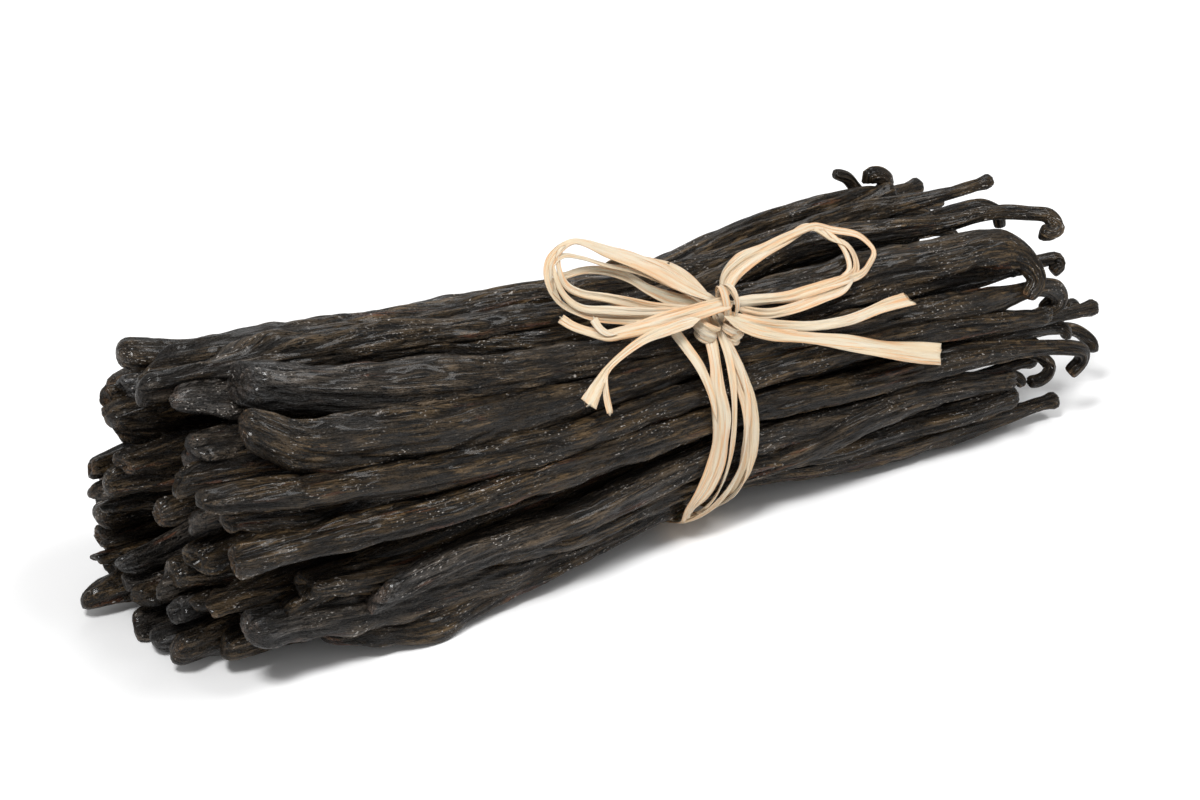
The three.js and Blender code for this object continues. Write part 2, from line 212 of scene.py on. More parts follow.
LOWER_PODS = (
    shown(((-72, -14, 3), (-50, -25, 3), (-20, -30, 1)), -25, ((37, -35, 0), (54, -32, 0), (73.5, -27, -0.2)),
          6.4, 5.2, tip=Tip.PITTED),
    shown(((-83, -27, 1), (-60, -36, 1), (-29, -46, 0)), -38,
          ((28, -22, -0.8), (38, -13, -1), (52, -13, 1), (74.6, -28, 3.9)), 7.6, 5, Curl.NUB,
          tint=Tint.SLATE_SHEEN, fold=0.25, flat=0.25),
    shown(((-68, -50, 0), (-48, -50, -2.5), (-20, -49, -1)), -51,
          ((38, -52, -1.3), (60, -51, -1), (85.9, -52, -0.7)), 7.4, 5.4, tint=Tint.RUDDY, flat=0.2),
)

# Outermost pods behind and below.
BELOW_ROWS = (
    Ends((-83, -68, 0.5), (78, -66, 0), waist=-67),
    Ends((-90, -76, 1), (78, -82, 1), waist=-82),
    Ends((-90, -90, -0.5), (80, -90, 0), waist=-90),
    Ends((-90, -96, 0), (78, -98, 0), waist=-98),
    Ends((-95, -117, 0), (84, -112, 0), waist=-113),
    Ends((-88, -128, 1), (80, -129, 0), Curl.SNUB, -130),
)
BEHIND_ROWS = (
    Ends((-88, -142, 0), (84, -146, 0), waist=-148),
    Ends((-86, -156, 0), (78, -162, 0), Curl.SNUB, -164),
    Ends((-86, -170, 1), (88, -174, 1), Curl.ARCH, -176),
    Ends((-80, 176, 0), (80, 173, 0), waist=171),
    Ends((-84, 162, 0), (86, 158, 0), waist=156),
    Ends((-85, 148, 2), (80, 146, -1), waist=142),
    Ends((-86, 123, 4.5), (63.4, 132, -2.2), Curl.BACK, 130),
)

# The pods inside, ring by ring from the outermost, each ring from the front round.
INNER_ROWS = (
    (
        Ends((-84, 13, 5), (82, 6, 3)), Ends((-88, 44, 7), (94.6, -3, 6.5)),
        Ends((-85, 62, 8), (76, 56, 4)), Ends((-86, 78, 4), (69.6, 90, 6), Curl.SNUB),
        Ends((-88, 90, 3), (76.3, 104, 4.7), Curl.ARCH), Ends((-90, 120, 7), (71.1, 120, 4.1), Curl.SNUB),
        Ends((-88, 138, 5), (67.4, 120, -1)), Ends((-86, 160, 8), (76, 158, 6)),
        Ends((-88, -176, 7), (80, -178, 5)), Ends((-90, -150, 8), (84, -156, 5)),
        Ends((-90, -140, 5), (84, -134, 5)), Ends((-92, -117, 5), (84, -112, 6)),
        Ends((-90, -105, 7), (80, -94, 5)), Ends((-88, -80, 7), (80.9, -30, 7), Curl.UNDER),
        Ends((-86, -73, 7), (84, -44, 6)), Ends((-86, -33, 9), (76, -32, 4)),
        Ends((-76, -28, 4), (90.3, -45, 10.5), Curl.OVER),
    ),
    (
        Ends((-86, 20, 12), (84, 20, 9)), Ends((-84, 66, 12), (82, 40, 9)),
        Ends((-91, 118, 15), (70, 80, 9)), Ends((-90, 130, 11), (72, 120, 8)),
        Ends((-93, 152, 12), (80, 165, 10)), Ends((-94, 169, 15), (84, -160, 10), Curl.SNUB),
        Ends((-92, -112, 11), (86, -125, 10)), Ends((-89, -98, 6), (80, -85, 9)),
        Ends((-88, -62, 12), (86, -48, 9)), Ends((-86, -31, 16), (86, -12, 8), Curl.NUB),
    ),
    (
        Ends((-89, 40, 18), (85.8, 100, 18.5), Curl.OPEN), Ends((-93, 130, 18), (82, 135, 15)),
        Ends((-92, -155, 16), (84, -135, 15)), Ends((-89, -80, 15), (86.3, -35, 10.5), Curl.UP),
    ),
)
TIPS = (Tip.ROUND, Tip.BLUNT, Tip.PITTED, Tip.BLUNT, Tip.ROUND, Tip.PITTED, Tip.NARROW)
TINTS = (Tint.BROWN, Tint.DUSKY, Tint.BROWN, Tint.RUDDY, Tint.SLATE_SHEEN)


# ---- curves and grids ----
def smoothstep(value: Array | float, low: float, high: float) -> Array:
    """0 up to low and 1 from high on, whichever is greater, with 3t^2 - 2t^3 between them."""
    t = np.clip((np.asarray(value, float) - low) / (high - low), 0, 1)
    return t * t * (3 - 2 * t)


def unit(vectors: Array) -> Array:
    """Each row of vectors at length one."""
    return vectors / np.maximum(np.linalg.norm(vectors, axis=-1, keepdims=True), 1e-12)


def spline(knots: Array, per_span: int = 24) -> Array:
    """A centripetal Catmull-Rom curve, worked out for all spans at once.

    Each span blends straight lines through its four nearest knots, with a knot's place in the
    blend being the running sum of the square roots of the distances between knots.

    Args:
        knots: Points that the curve passes through, one a row.
        per_span: Points made from one knot to the next.

    Returns:
        The curve's points, one a row.
    """
    p = np.vstack([2 * knots[0] - knots[1], knots, 2 * knots[-1] - knots[-2]])
    gaps = np.sqrt(np.linalg.norm(np.diff(p, axis=0), axis=1))
    t = np.concatenate([[0], np.cumsum(gaps)])
    span = np.arange(1, len(p) - 2)
    t0, t1, t2, t3 = (t[span + k][:, None, None] for k in (-1, 0, 1, 2))
    p0, p1, p2, p3 = (p[span + k][:, None, :] for k in (-1, 0, 1, 2))
    at = t1 + (t2 - t1) * np.linspace(0, 1, per_span, endpoint=False)[None, :, None]
    a1 = ((t1 - at) * p0 + (at - t0) * p1) / (t1 - t0)
    a2 = ((t2 - at) * p1 + (at - t1) * p2) / (t2 - t1)
    a3 = ((t3 - at) * p2 + (at - t2) * p3) / (t3 - t2)
    b1 = ((t2 - at) * a1 + (at - t0) * a2) / (t2 - t0)
    b2 = ((t3 - at) * a2 + (at - t1) * a3) / (t3 - t1)
    curve = ((t2 - at) * b1 + (at - t1) * b2) / (t2 - t1)
    return np.vstack([curve.reshape(-1, 3), knots[-1:]])


def bell(gap: Array, width: float) -> Array:
    """1 where the gap is 0, falling to 1/e at width."""
    return np.exp(-((gap / width) ** 2))


def angle_between(turn: Array, other: Array) -> Array:
    """How far turn lies past the other angle, from minus half a turn to half a turn."""
    return (turn - other + math.pi) % TURN - math.pi


@dataclass(frozen=True)
class Path:
    """A smooth line with two directions square to it, read off by the distance along it."""

    points: Array
    reach: Array
    ahead: Array
    side: Array
    out: Array

    @classmethod
    def through(cls, knots: Array, towards: Array) -> Path:
        """The path through the knots.

        Args:
            knots: Points of the path, one a row.
            towards: The direction, or one for each knot, that side follows as nearly as it can:
                side is towards less its part along the path, and out is ahead cross side.

        Returns:
            The path, sampled finely.
        """
        points = spline(np.asarray(knots, float))
        reach = np.concatenate([[0], np.cumsum(np.linalg.norm(np.diff(points, axis=0), axis=1))])
        ahead = unit(np.gradient(points, axis=0))
        towards = np.asarray(towards, float)
        if towards.ndim == 2:
            share = np.linspace(0, len(towards) - 1, len(points))
            towards = np.stack([np.interp(share, np.arange(len(towards)), towards[:, k])
                                for k in range(3)], axis=1)
        side = unit(towards - (ahead * towards).sum(-1, keepdims=True) * ahead)
        return cls(points, reach, ahead, side, np.cross(ahead, side))

    @property
    def length(self) -> float:
        """The whole distance along the path."""
        return float(self.reach[-1])

    def read(self, rows: Array, s: Array) -> Array:
        """The rows' values at the distances s."""
        return np.stack([np.interp(s, self.reach, rows[:, k]) for k in range(3)], axis=-1)

    def at(self, s: Array) -> tuple[Array, ...]:
        """The points at the distances s, and the directions ahead, to the side and out there."""
        return tuple(self.read(rows, s) for rows in (self.points, self.ahead, self.side, self.out))


def lattice_noise(rng: Random, s: Array, turn: Array | float, pitch: float, columns: int) -> Array:
    """Smooth noise from -1 to 1 over a tube's skin.

    Random heights stand on a lattice with a row every pitch along and the given number of columns
    round, which closes on itself, and smoothstep blends the four nearest.

    Args:
        rng: Source of the heights.
        s: Distances along, as a column or a grid.
        turn: Angles round in radians, as a row or a grid.
        pitch: Distance between rows.
        columns: Heights round the tube.

    Returns:
        The noise at every place of the grid.
    """
    s, turn = np.broadcast_arrays(s, turn)
    along = (s - s.min()) / pitch
    heights = rng.uniform(-1, 1, (int(along.max()) + 2, columns))
    across = (turn / TURN * columns) % columns
    i, j = along.astype(int), across.astype(int) % columns
    u, v = smoothstep(along - i, 0, 1), smoothstep(across - np.floor(across), 0, 1)
    k = (j + 1) % columns
    low = heights[i, j] * (1 - v) + heights[i, k] * v
    high = heights[i + 1, j] * (1 - v) + heights[i + 1, k] * v
    return low * (1 - u) + high * u


@dataclass(frozen=True)
class Waver:
    """Smooth chance changes, up to amount each way, with a random height every pitch along."""

    amount: float
    pitch: float
    columns: int = 1            # random heights round the tube: with one, the change is along it only

    def read(self, rng: Random, s: Array, turn: Array | float = 0.0) -> Array:
        """The changes at the distances s and the angles turn."""
        return self.amount * lattice_noise(rng, s, turn, self.pitch, self.columns)


def side_by_side(*parts: Array | float) -> Array:
    """The parts spread to one grid, as the last axis of one array."""
    return np.stack(np.broadcast_arrays(*parts), -1)


def add_object(name: str, data: bpy.types.ID) -> Piece:
    """A new object at the origin of the scene."""
    piece = bpy.data.objects.new(name, data)
    bpy.context.scene.collection.objects.link(piece)
    return piece


@dataclass
class Skin:
    """Closed tubular surfaces gathered into one mesh, with named vectors at their vertices."""

    points: list[Array] = field(default_factory=list)
    quads: list[Array] = field(default_factory=list)
    triangles: list[Array] = field(default_factory=list)
    vectors: dict[str, list[Array]] = field(default_factory=dict)
    count: int = 0

    def add_tube(self, rings: Array, poles: Array, **vectors: tuple[Array, Array]) -> None:
        """Adds a tube of rings that close round, shut at both ends by a fan to a pole.

        Args:
            rings: Points as (ring, place round, xyz), running so that faces point outwards.
            poles: The first and the last pole.
            vectors: For each name, the vectors of the rings and those of the two poles.
        """
        rows, sides = rings.shape[:2]
        grid = self.count + np.arange(rows * sides).reshape(rows, sides)
        ahead = np.roll(grid, -1, axis=1)
        first, last = self.count + rows * sides, self.count + rows * sides + 1
        self.quads.append(np.stack([grid[:-1], grid[1:], ahead[1:], ahead[:-1]], -1).reshape(-1, 4))
        start = np.stack([np.full(sides, first), grid[0], ahead[0]], -1)
        end = np.stack([np.full(sides, last), ahead[-1], grid[-1]], -1)
        self.triangles += [start, end]
        self.points += [rings.reshape(-1, 3), poles]
        for name, (around, at_poles) in vectors.items():
            self.vectors.setdefault(name, []).extend([around.reshape(-1, 3), at_poles])
        self.count += rows * sides + 2

    def build(self, name: str, material: Material) -> Piece:
        """The gathered surfaces, given in millimetres, as one smooth object in metres."""
        quads, triangles = np.concatenate(self.quads), np.concatenate(self.triangles)
        points = np.concatenate(self.points) * MM
        corners = np.concatenate([quads.ravel(), triangles.ravel()])
        starts = np.concatenate([np.arange(len(quads)) * 4, len(quads) * 4 + np.arange(len(triangles)) * 3])
        mesh = bpy.data.meshes.new(name)
        mesh.vertices.add(len(points))
        mesh.vertices.foreach_set("co", points.astype(np.float32).ravel())
        mesh.loops.add(len(corners))
        mesh.loops.foreach_set("vertex_index", corners.astype(np.int32))
        mesh.polygons.add(len(starts))
        mesh.polygons.foreach_set("loop_start", starts.astype(np.int32))
        mesh.polygons.foreach_set("use_smooth", np.ones(len(starts), bool))
        mesh.update(calc_edges=True)
        for label, rows in self.vectors.items():
            store = mesh.attributes.new(label, "FLOAT_VECTOR", "POINT")
            store.data.foreach_set("vector", np.concatenate(rows).astype(np.float32).ravel())
        mesh.materials.append(material)
        return add_object(name, mesh)


# ---- finishes ----
class Graph:
    """Short calls that add nodes to one material and join them."""

    def __init__(self, name: str) -> None:
        """Starts a material that has no nodes yet."""
        self.material = bpy.data.materials.new(name)
        self.material.use_nodes = True
        self.tree = self.material.node_tree
        self.tree.nodes.clear()

    def add(self, kind: str, inputs: dict | None = None, **settings: object) -> bpy.types.Node:
        """Adds a node.

        Args:
            kind: The node's type name, without its ShaderNode prefix.
            inputs: A plain value, a Value or an output socket for each input.
            settings: The node's own options.

        Returns:
            The new node.
        """
        node = self.tree.nodes.new("ShaderNode" + kind)
        for option, value in settings.items():
            setattr(node, option, value)
        for key, value in (inputs or {}).items():
            value = value.socket if isinstance(value, Value) else value
            if isinstance(value, Socket):
                self.tree.links.new(value, node.inputs[key])
            else:
                node.inputs[key].default_value = value
        return node

    def math(self, operation: str, *values: object) -> Value:
        """The result of a Math node on the values."""
        return Value(self, self.add("Math", dict(enumerate(values)), operation=operation).outputs[0])

    def mix(self, share: object, first: object, second: object) -> Value:
        """The colour that is first where share is 0 and second where it is 1."""
        factor, colour_a, colour_b, result = 0, 6, 7, 2
        node = self.add("Mix", {factor: share}, data_type="RGBA")
        for key, value in ((colour_a, first), (colour_b, second)):
            if isinstance(value, Value):
                self.tree.links.new(value.socket, node.inputs[key])
            else:
                node.inputs[key].default_value = value
        return Value(self, node.outputs[result])

    def noise(self, place: Socket, stretch: Triple, scale: float, detail: float = 2.0) -> Value:
        """Noise from 0 to 1 at the place, whose axes are first multiplied by stretch."""
        mapped = self.add("Mapping", {"Vector": place, "Scale": stretch}).outputs[0]
        node = self.add("TexNoise", {"Vector": mapped, "Scale": scale, "Detail": detail})
        return Value(self, node.outputs[0])

    def bump(self, height: Value, distance: float, strength: float = 1.0,
             over: Socket | None = None) -> Socket:
        """The normal that the height raises, laid over another normal if one is given."""
        below = {} if over is None else {"Normal": over}
        node = self.add("Bump", {"Height": height, "Distance": distance, "Strength": strength, **below})
        return node.outputs[0]

    def vector(self, attribute: str) -> Socket:
        """A vector kept at the vertices."""
        return self.add("Attribute", attribute_name=attribute).outputs["Vector"]

    def parts(self, attribute: str) -> list[Value]:
        """The three numbers of a vector kept at the vertices."""
        split = self.add("SeparateXYZ", {0: self.vector(attribute)})
        return [Value(self, number) for number in split.outputs]

    def finish(self, shader: bpy.types.Node) -> Material:
        """Joins the shader to the output and returns the material."""
        self.add("OutputMaterial", {"Surface": shader.outputs[0]})
        return self.material


@dataclass(frozen=True)
class Value:
    """A number or colour that a material's nodes work out, and that takes plain arithmetic."""

    graph: Graph
    socket: Socket

    def __add__(self, other: object) -> Value:
        """The sum."""
        return self.graph.math("ADD", self, other)

    def __sub__(self, other: object) -> Value:
        """This less the other."""
        return self.graph.math("SUBTRACT", self, other)

    def __rsub__(self, other: object) -> Value:
        """The other less this."""
        return self.graph.math("SUBTRACT", other, self)

    def __mul__(self, other: object) -> Value:
        """The product."""
        return self.graph.math("MULTIPLY", self, other)

    def __abs__(self) -> Value:
        """The size without the sign."""
        return self.graph.math("ABSOLUTE", self)

    def ramp(self, low: float, high: float) -> Value:
        """0 up to low and 1 from high on, whichever is greater, smooth between."""
        node = self.graph.add("MapRange", {0: self, 1: low, 2: high}, interpolation_type="SMOOTHSTEP")
        return Value(self.graph, node.outputs[0])


def shade(red: float, green: float, painted_sheen: float) -> tuple[float, float, float, float]:
    """A linear colour with full alpha."""
    return (red, green, painted_sheen, 1.0)


@dataclass(frozen=True)
class PodFinish:
    """Cured pod skin: near-black brown, wrinkled lengthwise, oily, with a painted bluish sheen at some tips.
    """

    # deep is the near-black skin, and is also painted as shade in the grooves and fine lines
    deep: tuple = shade(0.0028, 0.0018, 0.0010)
    brown: tuple = shade(0.044, 0.0265, 0.0095)
    # painted highlight: lighter brown laid on the raised grain
    ridge_highlight: tuple = shade(0.140, 0.088, 0.039)
    # painted sheen: bluish grey of reflected light, strongest near the blossom tip
    slate: tuple = shade(0.105, 0.108, 0.112)
    ruddy: tuple = shade(0.13, 0.045, 0.018)
    cut: tuple = shade(0.26, 0.14, 0.065)
    # painted glints: small bright dots of reflected light
    painted_glint: tuple = shade(0.50, 0.46, 0.42)
    coarse_bump: float = 0.0013     # heights of the bumps, in metres
    fine_bump: float = 0.0004
    grain_bump: float = 0.00022

    def material(self) -> Material:
        """Builds the finish from the vertex vectors skin, tone and marks.

        Returns:
            The material. skin is the place on the straightened pod in metres, tone holds the
            pod's own chance number, its share of painted slate sheen and its red share, and marks holds
            how deep in a groove, how near the blossom tip and how much on a cut face a place is. The
            colour paints shade in the grooves and fine lines, highlights on the raised grain, the
            bluish sheen near the tip and small glints.
        """
        g = Graph("pod_skin")
        skin = g.vector("skin")
        chance, sheen_share, red_share = g.parts("tone")
        groove, tip, cut = g.parts("marks")
        fibre = g.noise(skin, (1, 1, 0.09), 2500, 3)
        strand = g.noise(skin, (1, 1, 0.11), 1050, 3)
        thread = g.noise(skin, (1, 1, 0.05), 1500)
        patch = g.noise(skin, (1, 1, 0.5), 130)
        streak = g.noise(skin, (1, 1, 0.08), 620)
        glint = g.noise(skin, (1, 1, 0.5), 3400, 1)
        glint_clusters = g.noise(skin, (1, 1, 0.7), 210)
        grains = g.noise(skin, (1, 1, 0.6), 5200, 1)
        grain = fibre * 0.55 + strand * 0.45
        open_skin = 1.0 - groove
        fissure = abs(strand - 0.5).ramp(0.0, 0.045)
        crack = abs(fibre - 0.5).ramp(0.0, 0.04)
        line = abs(thread - 0.5).ramp(0.0, 0.045)
        height = fissure * 0.4 + crack * 0.25 + line * 0.35
        colour = g.mix(grain.ramp(0.39, 0.48), self.deep, self.brown)
        # Painted highlight: lighter brown on the raised grain, outside the grooves.
        lift = grain.ramp(0.47, 0.57) * patch.ramp(0.2, 0.7)
        colour = g.mix(lift * open_skin, colour, self.ridge_highlight)
        # Painted sheen: bluish slate of reflected light, strongest near the blossom tip and weak along the
        # pod.
        painted_sheen = sheen_share * (tip * 0.9 + 0.12) * grain.ramp(0.36, 0.6)
        colour = g.mix(g.math("MINIMUM", painted_sheen, 0.85), colour, self.slate)
        red = g.math("GREATER_THAN", streak, 0.64 - red_share * 0.05) * patch.ramp(0.48, 0.66)
        colour = g.mix(red * 0.75, colour, self.ruddy)
        bare = cut * chance.ramp(0.3, 0.6)
        colour = g.mix(bare * strand.ramp(0.36, 0.6), colour, self.cut)
        # Painted shade: darker in the grooves and creases.
        colour = g.mix(groove * 0.8, colour, self.deep)
        # Painted shade: darker along the fine fissure lines.
        colour = g.mix(height.ramp(0.88, 0.45), colour, self.deep)
        # Painted glints: small bright dots of reflected light, in clusters, outside the grooves.
        painted_glint = glint.ramp(0.64, 0.70) * glint_clusters.ramp(0.46, 0.62)
        colour = g.mix(painted_glint * open_skin, colour, self.painted_glint)
        rough = fibre * 0.34 + 0.30 + cut * 0.25 - tip * 0.08
        normal = g.bump(strand + fibre, self.coarse_bump)
        normal = g.bump(height, self.fine_bump, over=normal)
        normal = g.bump(grains, self.grain_bump, over=normal)
        return g.finish(g.add("BsdfPrincipled", {
            "Base Color": colour, "Roughness": rough, "Normal": normal,
            "Specular IOR Level": 0.26, "Coat Weight": 0.20, "Coat Roughness": 0.12}))


@dataclass(frozen=True)
class RaffiaFinish:
    """Dry raffia leaf: pale straw, fibrous along its length, with orange-pink fibre streaks and the same
    colour painted as warm shade in the creases and towards the edges.
    """

    straw: tuple = shade(0.70, 0.56, 0.38)
    pale: tuple = shade(0.72, 0.64, 0.505)
    # the colour of the fibre streaks, and painted warm shade in the creases and towards the edges
    peach: tuple = shade(0.72, 0.39, 0.18)
    green: tuple = shade(0.67, 0.63, 0.49)
    coarse_bump: float = 0.0007
    fine_bump: float = 0.00022

    def material(self) -> Material:
        """Builds the finish from the vertex vectors fibre and marks.

        Returns:
            The material. fibre is the place across and along the flat strand and the strand's own
            offset, in metres. marks holds how much a place lies in a crease and at an edge, and
            the strand's green cast.
        """
        g = Graph("raffia")
        place = g.vector("fibre")
        crease, edge, cast = g.parts("marks")
        fibre = g.noise(place, (1, 0.03, 1), 4600, 3)
        band = g.noise(place, (1, 0.05, 1), 1100)
        blotch = g.noise(place, (1, 0.5, 1), 160)
        colour = g.mix(band.ramp(0.3, 0.7), self.straw, self.pale)
        colour = g.mix(cast * blotch.ramp(0.4, 0.6), colour, self.green)
        # Painted shade: warm peach in the creases.
        colour = g.mix(crease * blotch.ramp(0.42, 0.68) * 0.8, colour, self.peach)
        # Painted shade: warm peach towards the edges.
        colour = g.mix(edge * blotch.ramp(0.36, 0.6) * 0.6, colour, self.peach)
        colour = g.mix(fibre.ramp(0.54, 0.66) * 0.7, colour, self.peach)
        normal = g.bump(band, self.coarse_bump)
        normal = g.bump(fibre, self.fine_bump, 0.9, normal)
        return g.finish(g.add("BsdfPrincipled", {
            "Base Color": colour, "Roughness": fibre * 0.2 + 0.42, "Normal": normal,
            "Specular IOR Level": 0.3, "Subsurface Weight": 0.35, "Subsurface Scale": 0.0005,
            "Subsurface Radius": (0.6, 0.7, 0.8)}))


@dataclass(frozen=True)
class FloorFinish:
    """Plain white studio floor."""

    white: tuple = shade(0.93, 0.93, 0.93)

    def material(self) -> Material:
        """Builds the matt floor."""
        g = Graph("floor")
        return g.finish(g.add("BsdfDiffuse", {"Color": self.white, "Roughness": 0.5}))


# ---- the bundle ----
@dataclass(frozen=True)
class BundleFrame:
    """Where the bundle's own frame lies, in millimetres of the row frame, and its coordinates."""

    shift: Array

    @classmethod
    def from_band(cls) -> BundleFrame:
        """Finds the frame from the band, whose middle is known in the bundle's own frame."""
        low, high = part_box("tie_band")
        middle = (np.array(low) + np.array(high)) / 2 / MM
        return cls(middle - np.array([BAND_MIDDLE_X, 0.0, PROFILE["middle"][3]]))

    def along(self, row: str, x: Array) -> Array:
        """The value of a row of PROFILE at x, straight between its stations."""
        return np.interp(x, PROFILE["x"], PROFILE[row])

    def place(self, stations: Array) -> Array:
        """Points in the row frame from bundle coordinates.

        With c and s the cosine and sine of the angle, a point lies (half_width - sink) |c|^k to the
        side and (half_height - sink) |s|^k above or below the middle, where k is 1 in the upper
        half and 2 / SAG in the lower one.

        Args:
            stations: Rows of (x, angle in degrees from the front up over the top, sink).

        Returns:
            Rows of (x, y, z).
        """
        x, angle, sink = np.asarray(stations, float).T
        c, s = np.cos(np.radians(angle)), np.sin(np.radians(angle))
        power = np.where(s >= 0, 1.0, 2 / SAG)
        y = -(self.along("half_width", x) - sink) * np.sign(c) * np.abs(c) ** power
        up = (self.along("half_height", x) - sink) * np.sign(s) * np.abs(s) ** power
        return np.stack([x, y, self.along("middle", x) + up], axis=1) + self.shift


@dataclass
class PodBundle:
    """All the pods, as joined meshes over a dark core."""

    frame: BundleFrame
    seed: int = 41
    crease_count: int = 5
    crease_depth: float = 0.15    # share of the radius
    crease_width: float = 0.15    # radians
    fold_width: float = 0.42
    wrinkle: float = 0.65         # depth of the main wrinkles
    furrow: float = 0.32          # depth of the finer ones
    mean_ridge: float = 0.4       # mean height of ridged noise, taken off to keep the thickness
    pinch: float = 0.16           # deepest pinch behind the tip, as a share of the radius
    least_flat: float = 0.05
    least_corners: float = 0.04
    sway: float = 0.6             # how far a pod strays from its course away from the waist
    # Where along a pod, in millimetres from its blossom tip, each effect starts and is over.
    flattened: tuple[float, float] = (10, 50)
    twisted: tuple[float, float] = (4, 34)
    folded: tuple[float, float] = (3, 26)
    slanted: tuple[float, float] = (0, 7)
    crooked: tuple[float, float] = (0, 20)
    pinched: tuple[float, float] = (8, 14)
    strays: tuple[float, float] = (8, 40)           # millimetres from the waist
    # What wavers along a pod or over its skin.
    heading_drift: Waver = Waver(0.5, 40)           # where the flat side faces, in radians
    flat_drift: Waver = Waver(0.05, 25)
    corner_drift: Waver = Waver(0.03, 15)
    lumps: Waver = Waver(0.09, 11)                  # thickness, as a share
    ridge_drift: Waver = Waver(0.5, 26, 3)          # how the ridges wander round, in radians
    crease_drift: Waver = Waver(0.9, 30)
    crease_reach: Waver = Waver(1.0, 28)            # where a crease is there at all
    ridges: Waver = Waver(1.0, 10, 16)
    blossom_lumps: Waver = Waver(1.0, 3.2, 9)
    sideways: Waver = Waver(1.0, 16)
    outwards: Waver = Waver(1.0, 19)

    def knots(self, pod: Pod) -> Array:
        """The pod's stations and the moves of its curled stalk as points."""
        points = list(self.frame.place(np.array(pod.stations)))
        for move in pod.curl.value:
            points.append(points[-1] + np.array(move))
        return np.array(points)

    def thickness(self, pod: Pod, x: Array, share: Array) -> Array:
        """Pod thickness: full at the blossom end, WAIST_POD under the raffia, then the neck and stalk."""
        full_from, neck_from, stem_run, tip_share = 55, 40, 24, 0.10
        fat = smoothstep(-x, -WAIST_X, full_from)
        rise = smoothstep(x, WAIST_X, neck_from)
        thin = smoothstep(x, pod.slim, pod.slim + stem_run)
        body = WAIST_POD + (pod.thick - WAIST_POD) * fat + (pod.neck - WAIST_POD) * rise
        body = body + (STEM_POD - pod.neck) * thin
        body = body * (1 - pod.taper * (1 - smoothstep(share, 0, tip_share)))
        stalk = smoothstep(share, *pod.fade) if pod.curl is not Curl.NONE else 0.0
        return body * (1 - stalk) + pod.stalk * stalk

    def rings(self, pod: Pod, path: Path, detail: Detail) -> tuple[Array, Array]:
        """Places of the rings along the pod, closer together where it is thin, and their radial share.

        Args:
            pod: The pod.
            path: Its centre line.
            detail: How far apart the rings are on the body.

        Returns:
            Distances along the path and shares of the full radius, both poles included.
        """
        samples, bare_x, covered_x, closest = 400, 66, 52, 0.45
        sample = np.linspace(0, path.length, samples)
        x = path.read(path.points, sample)[:, 0] - self.frame.shift[0]
        half = self.thickness(pod, x, sample / path.length) / 2
        tip = np.array(pod.tip.value)
        stem = np.array((Tip.KNOB if pod.curl is Curl.NONE else Tip.BLUNT).value)
        start, end = tip[-1, 0] * half[0], path.length - stem[-1, 0] * half[-1]
        covered = 1 + (detail.buried - 1) * smoothstep(np.abs(x), bare_x, covered_x)
        density = 1 / (detail.step * covered * np.clip(half / FULL_HALF, closest, 1.0))
        run = np.concatenate([[0], np.cumsum((density[1:] + density[:-1]) / 2 * np.diff(sample))])
        first, last = np.interp((start, end), sample, run)
        body = np.interp(np.linspace(first, last, int(last - first) + 1)[1:-1], run, sample)
        s = np.concatenate([tip[:, 0] * half[0], body, path.length - stem[::-1, 0] * half[-1]])
        share = np.concatenate([tip[:, 1], np.ones(len(body)), stem[::-1, 1]])
        return s, share

    def section(self, pod: Pod, s: Array, turn: Array, heading: Array, rng: Random) -> Array:
        """The outline of the pod's section, as a share of its radius.

        Args:
            pod: The pod.
            s: Distances along it, as a column.
            turn: Angles round it, as a row.
            heading: Where its flat side faces, as a column of angles.
            rng: Source of its chance marks.

        Returns:
            An ellipse that flattens towards the blossom tip, times a wavering outline of three and
            five corners, less a pinch behind the tip.
        """
        flat = self.least_flat + pod.flat * self.near_tip(s) + self.flat_drift.read(rng, s)
        c, d = np.cos(turn - heading) / (1 + flat), np.sin(turn - heading) / (1 - flat)
        shape = 1 / np.sqrt(c * c + d * d)
        corners = self.least_corners + self.corner_drift.read(rng, s)
        shape = shape * (1 + corners * np.cos(3 * (turn - heading) + rng.uniform(0, TURN))
                         + 0.5 * corners * np.cos(5 * turn + heading) + self.lumps.read(rng, s))
        pinch_width = 4.5
        pinch = self.pinch * rng.uniform() * bell(s - rng.uniform(*self.pinched), pinch_width)
        return shape * (1 - pinch)

    def near_tip(self, s: Array) -> Array:
        """1 at the blossom tip, falling to 0 where the pod is no longer flattened."""
        return 1 - smoothstep(s, *self.flattened)

    def creases(self, pod: Pod, s: Array, turn: Array, heading: Array, rng: Random) -> Array:
        """How deep the wandering creases and the fold at the tip cut in, as a share of the radius."""
        cut = np.zeros(np.broadcast_shapes(s.shape, turn.shape))
        for _ in range(self.crease_count):
            centre = rng.uniform(0, TURN) + self.crease_drift.read(rng, s)
            depth = self.crease_depth * smoothstep(self.crease_reach.read(rng, s), -0.6, 0.4)
            cut += depth * bell(angle_between(turn, centre), self.crease_width)
        fold = pod.fold * bell(angle_between(turn, heading), self.fold_width)
        return cut + fold * (1 - smoothstep(s, *self.folded))

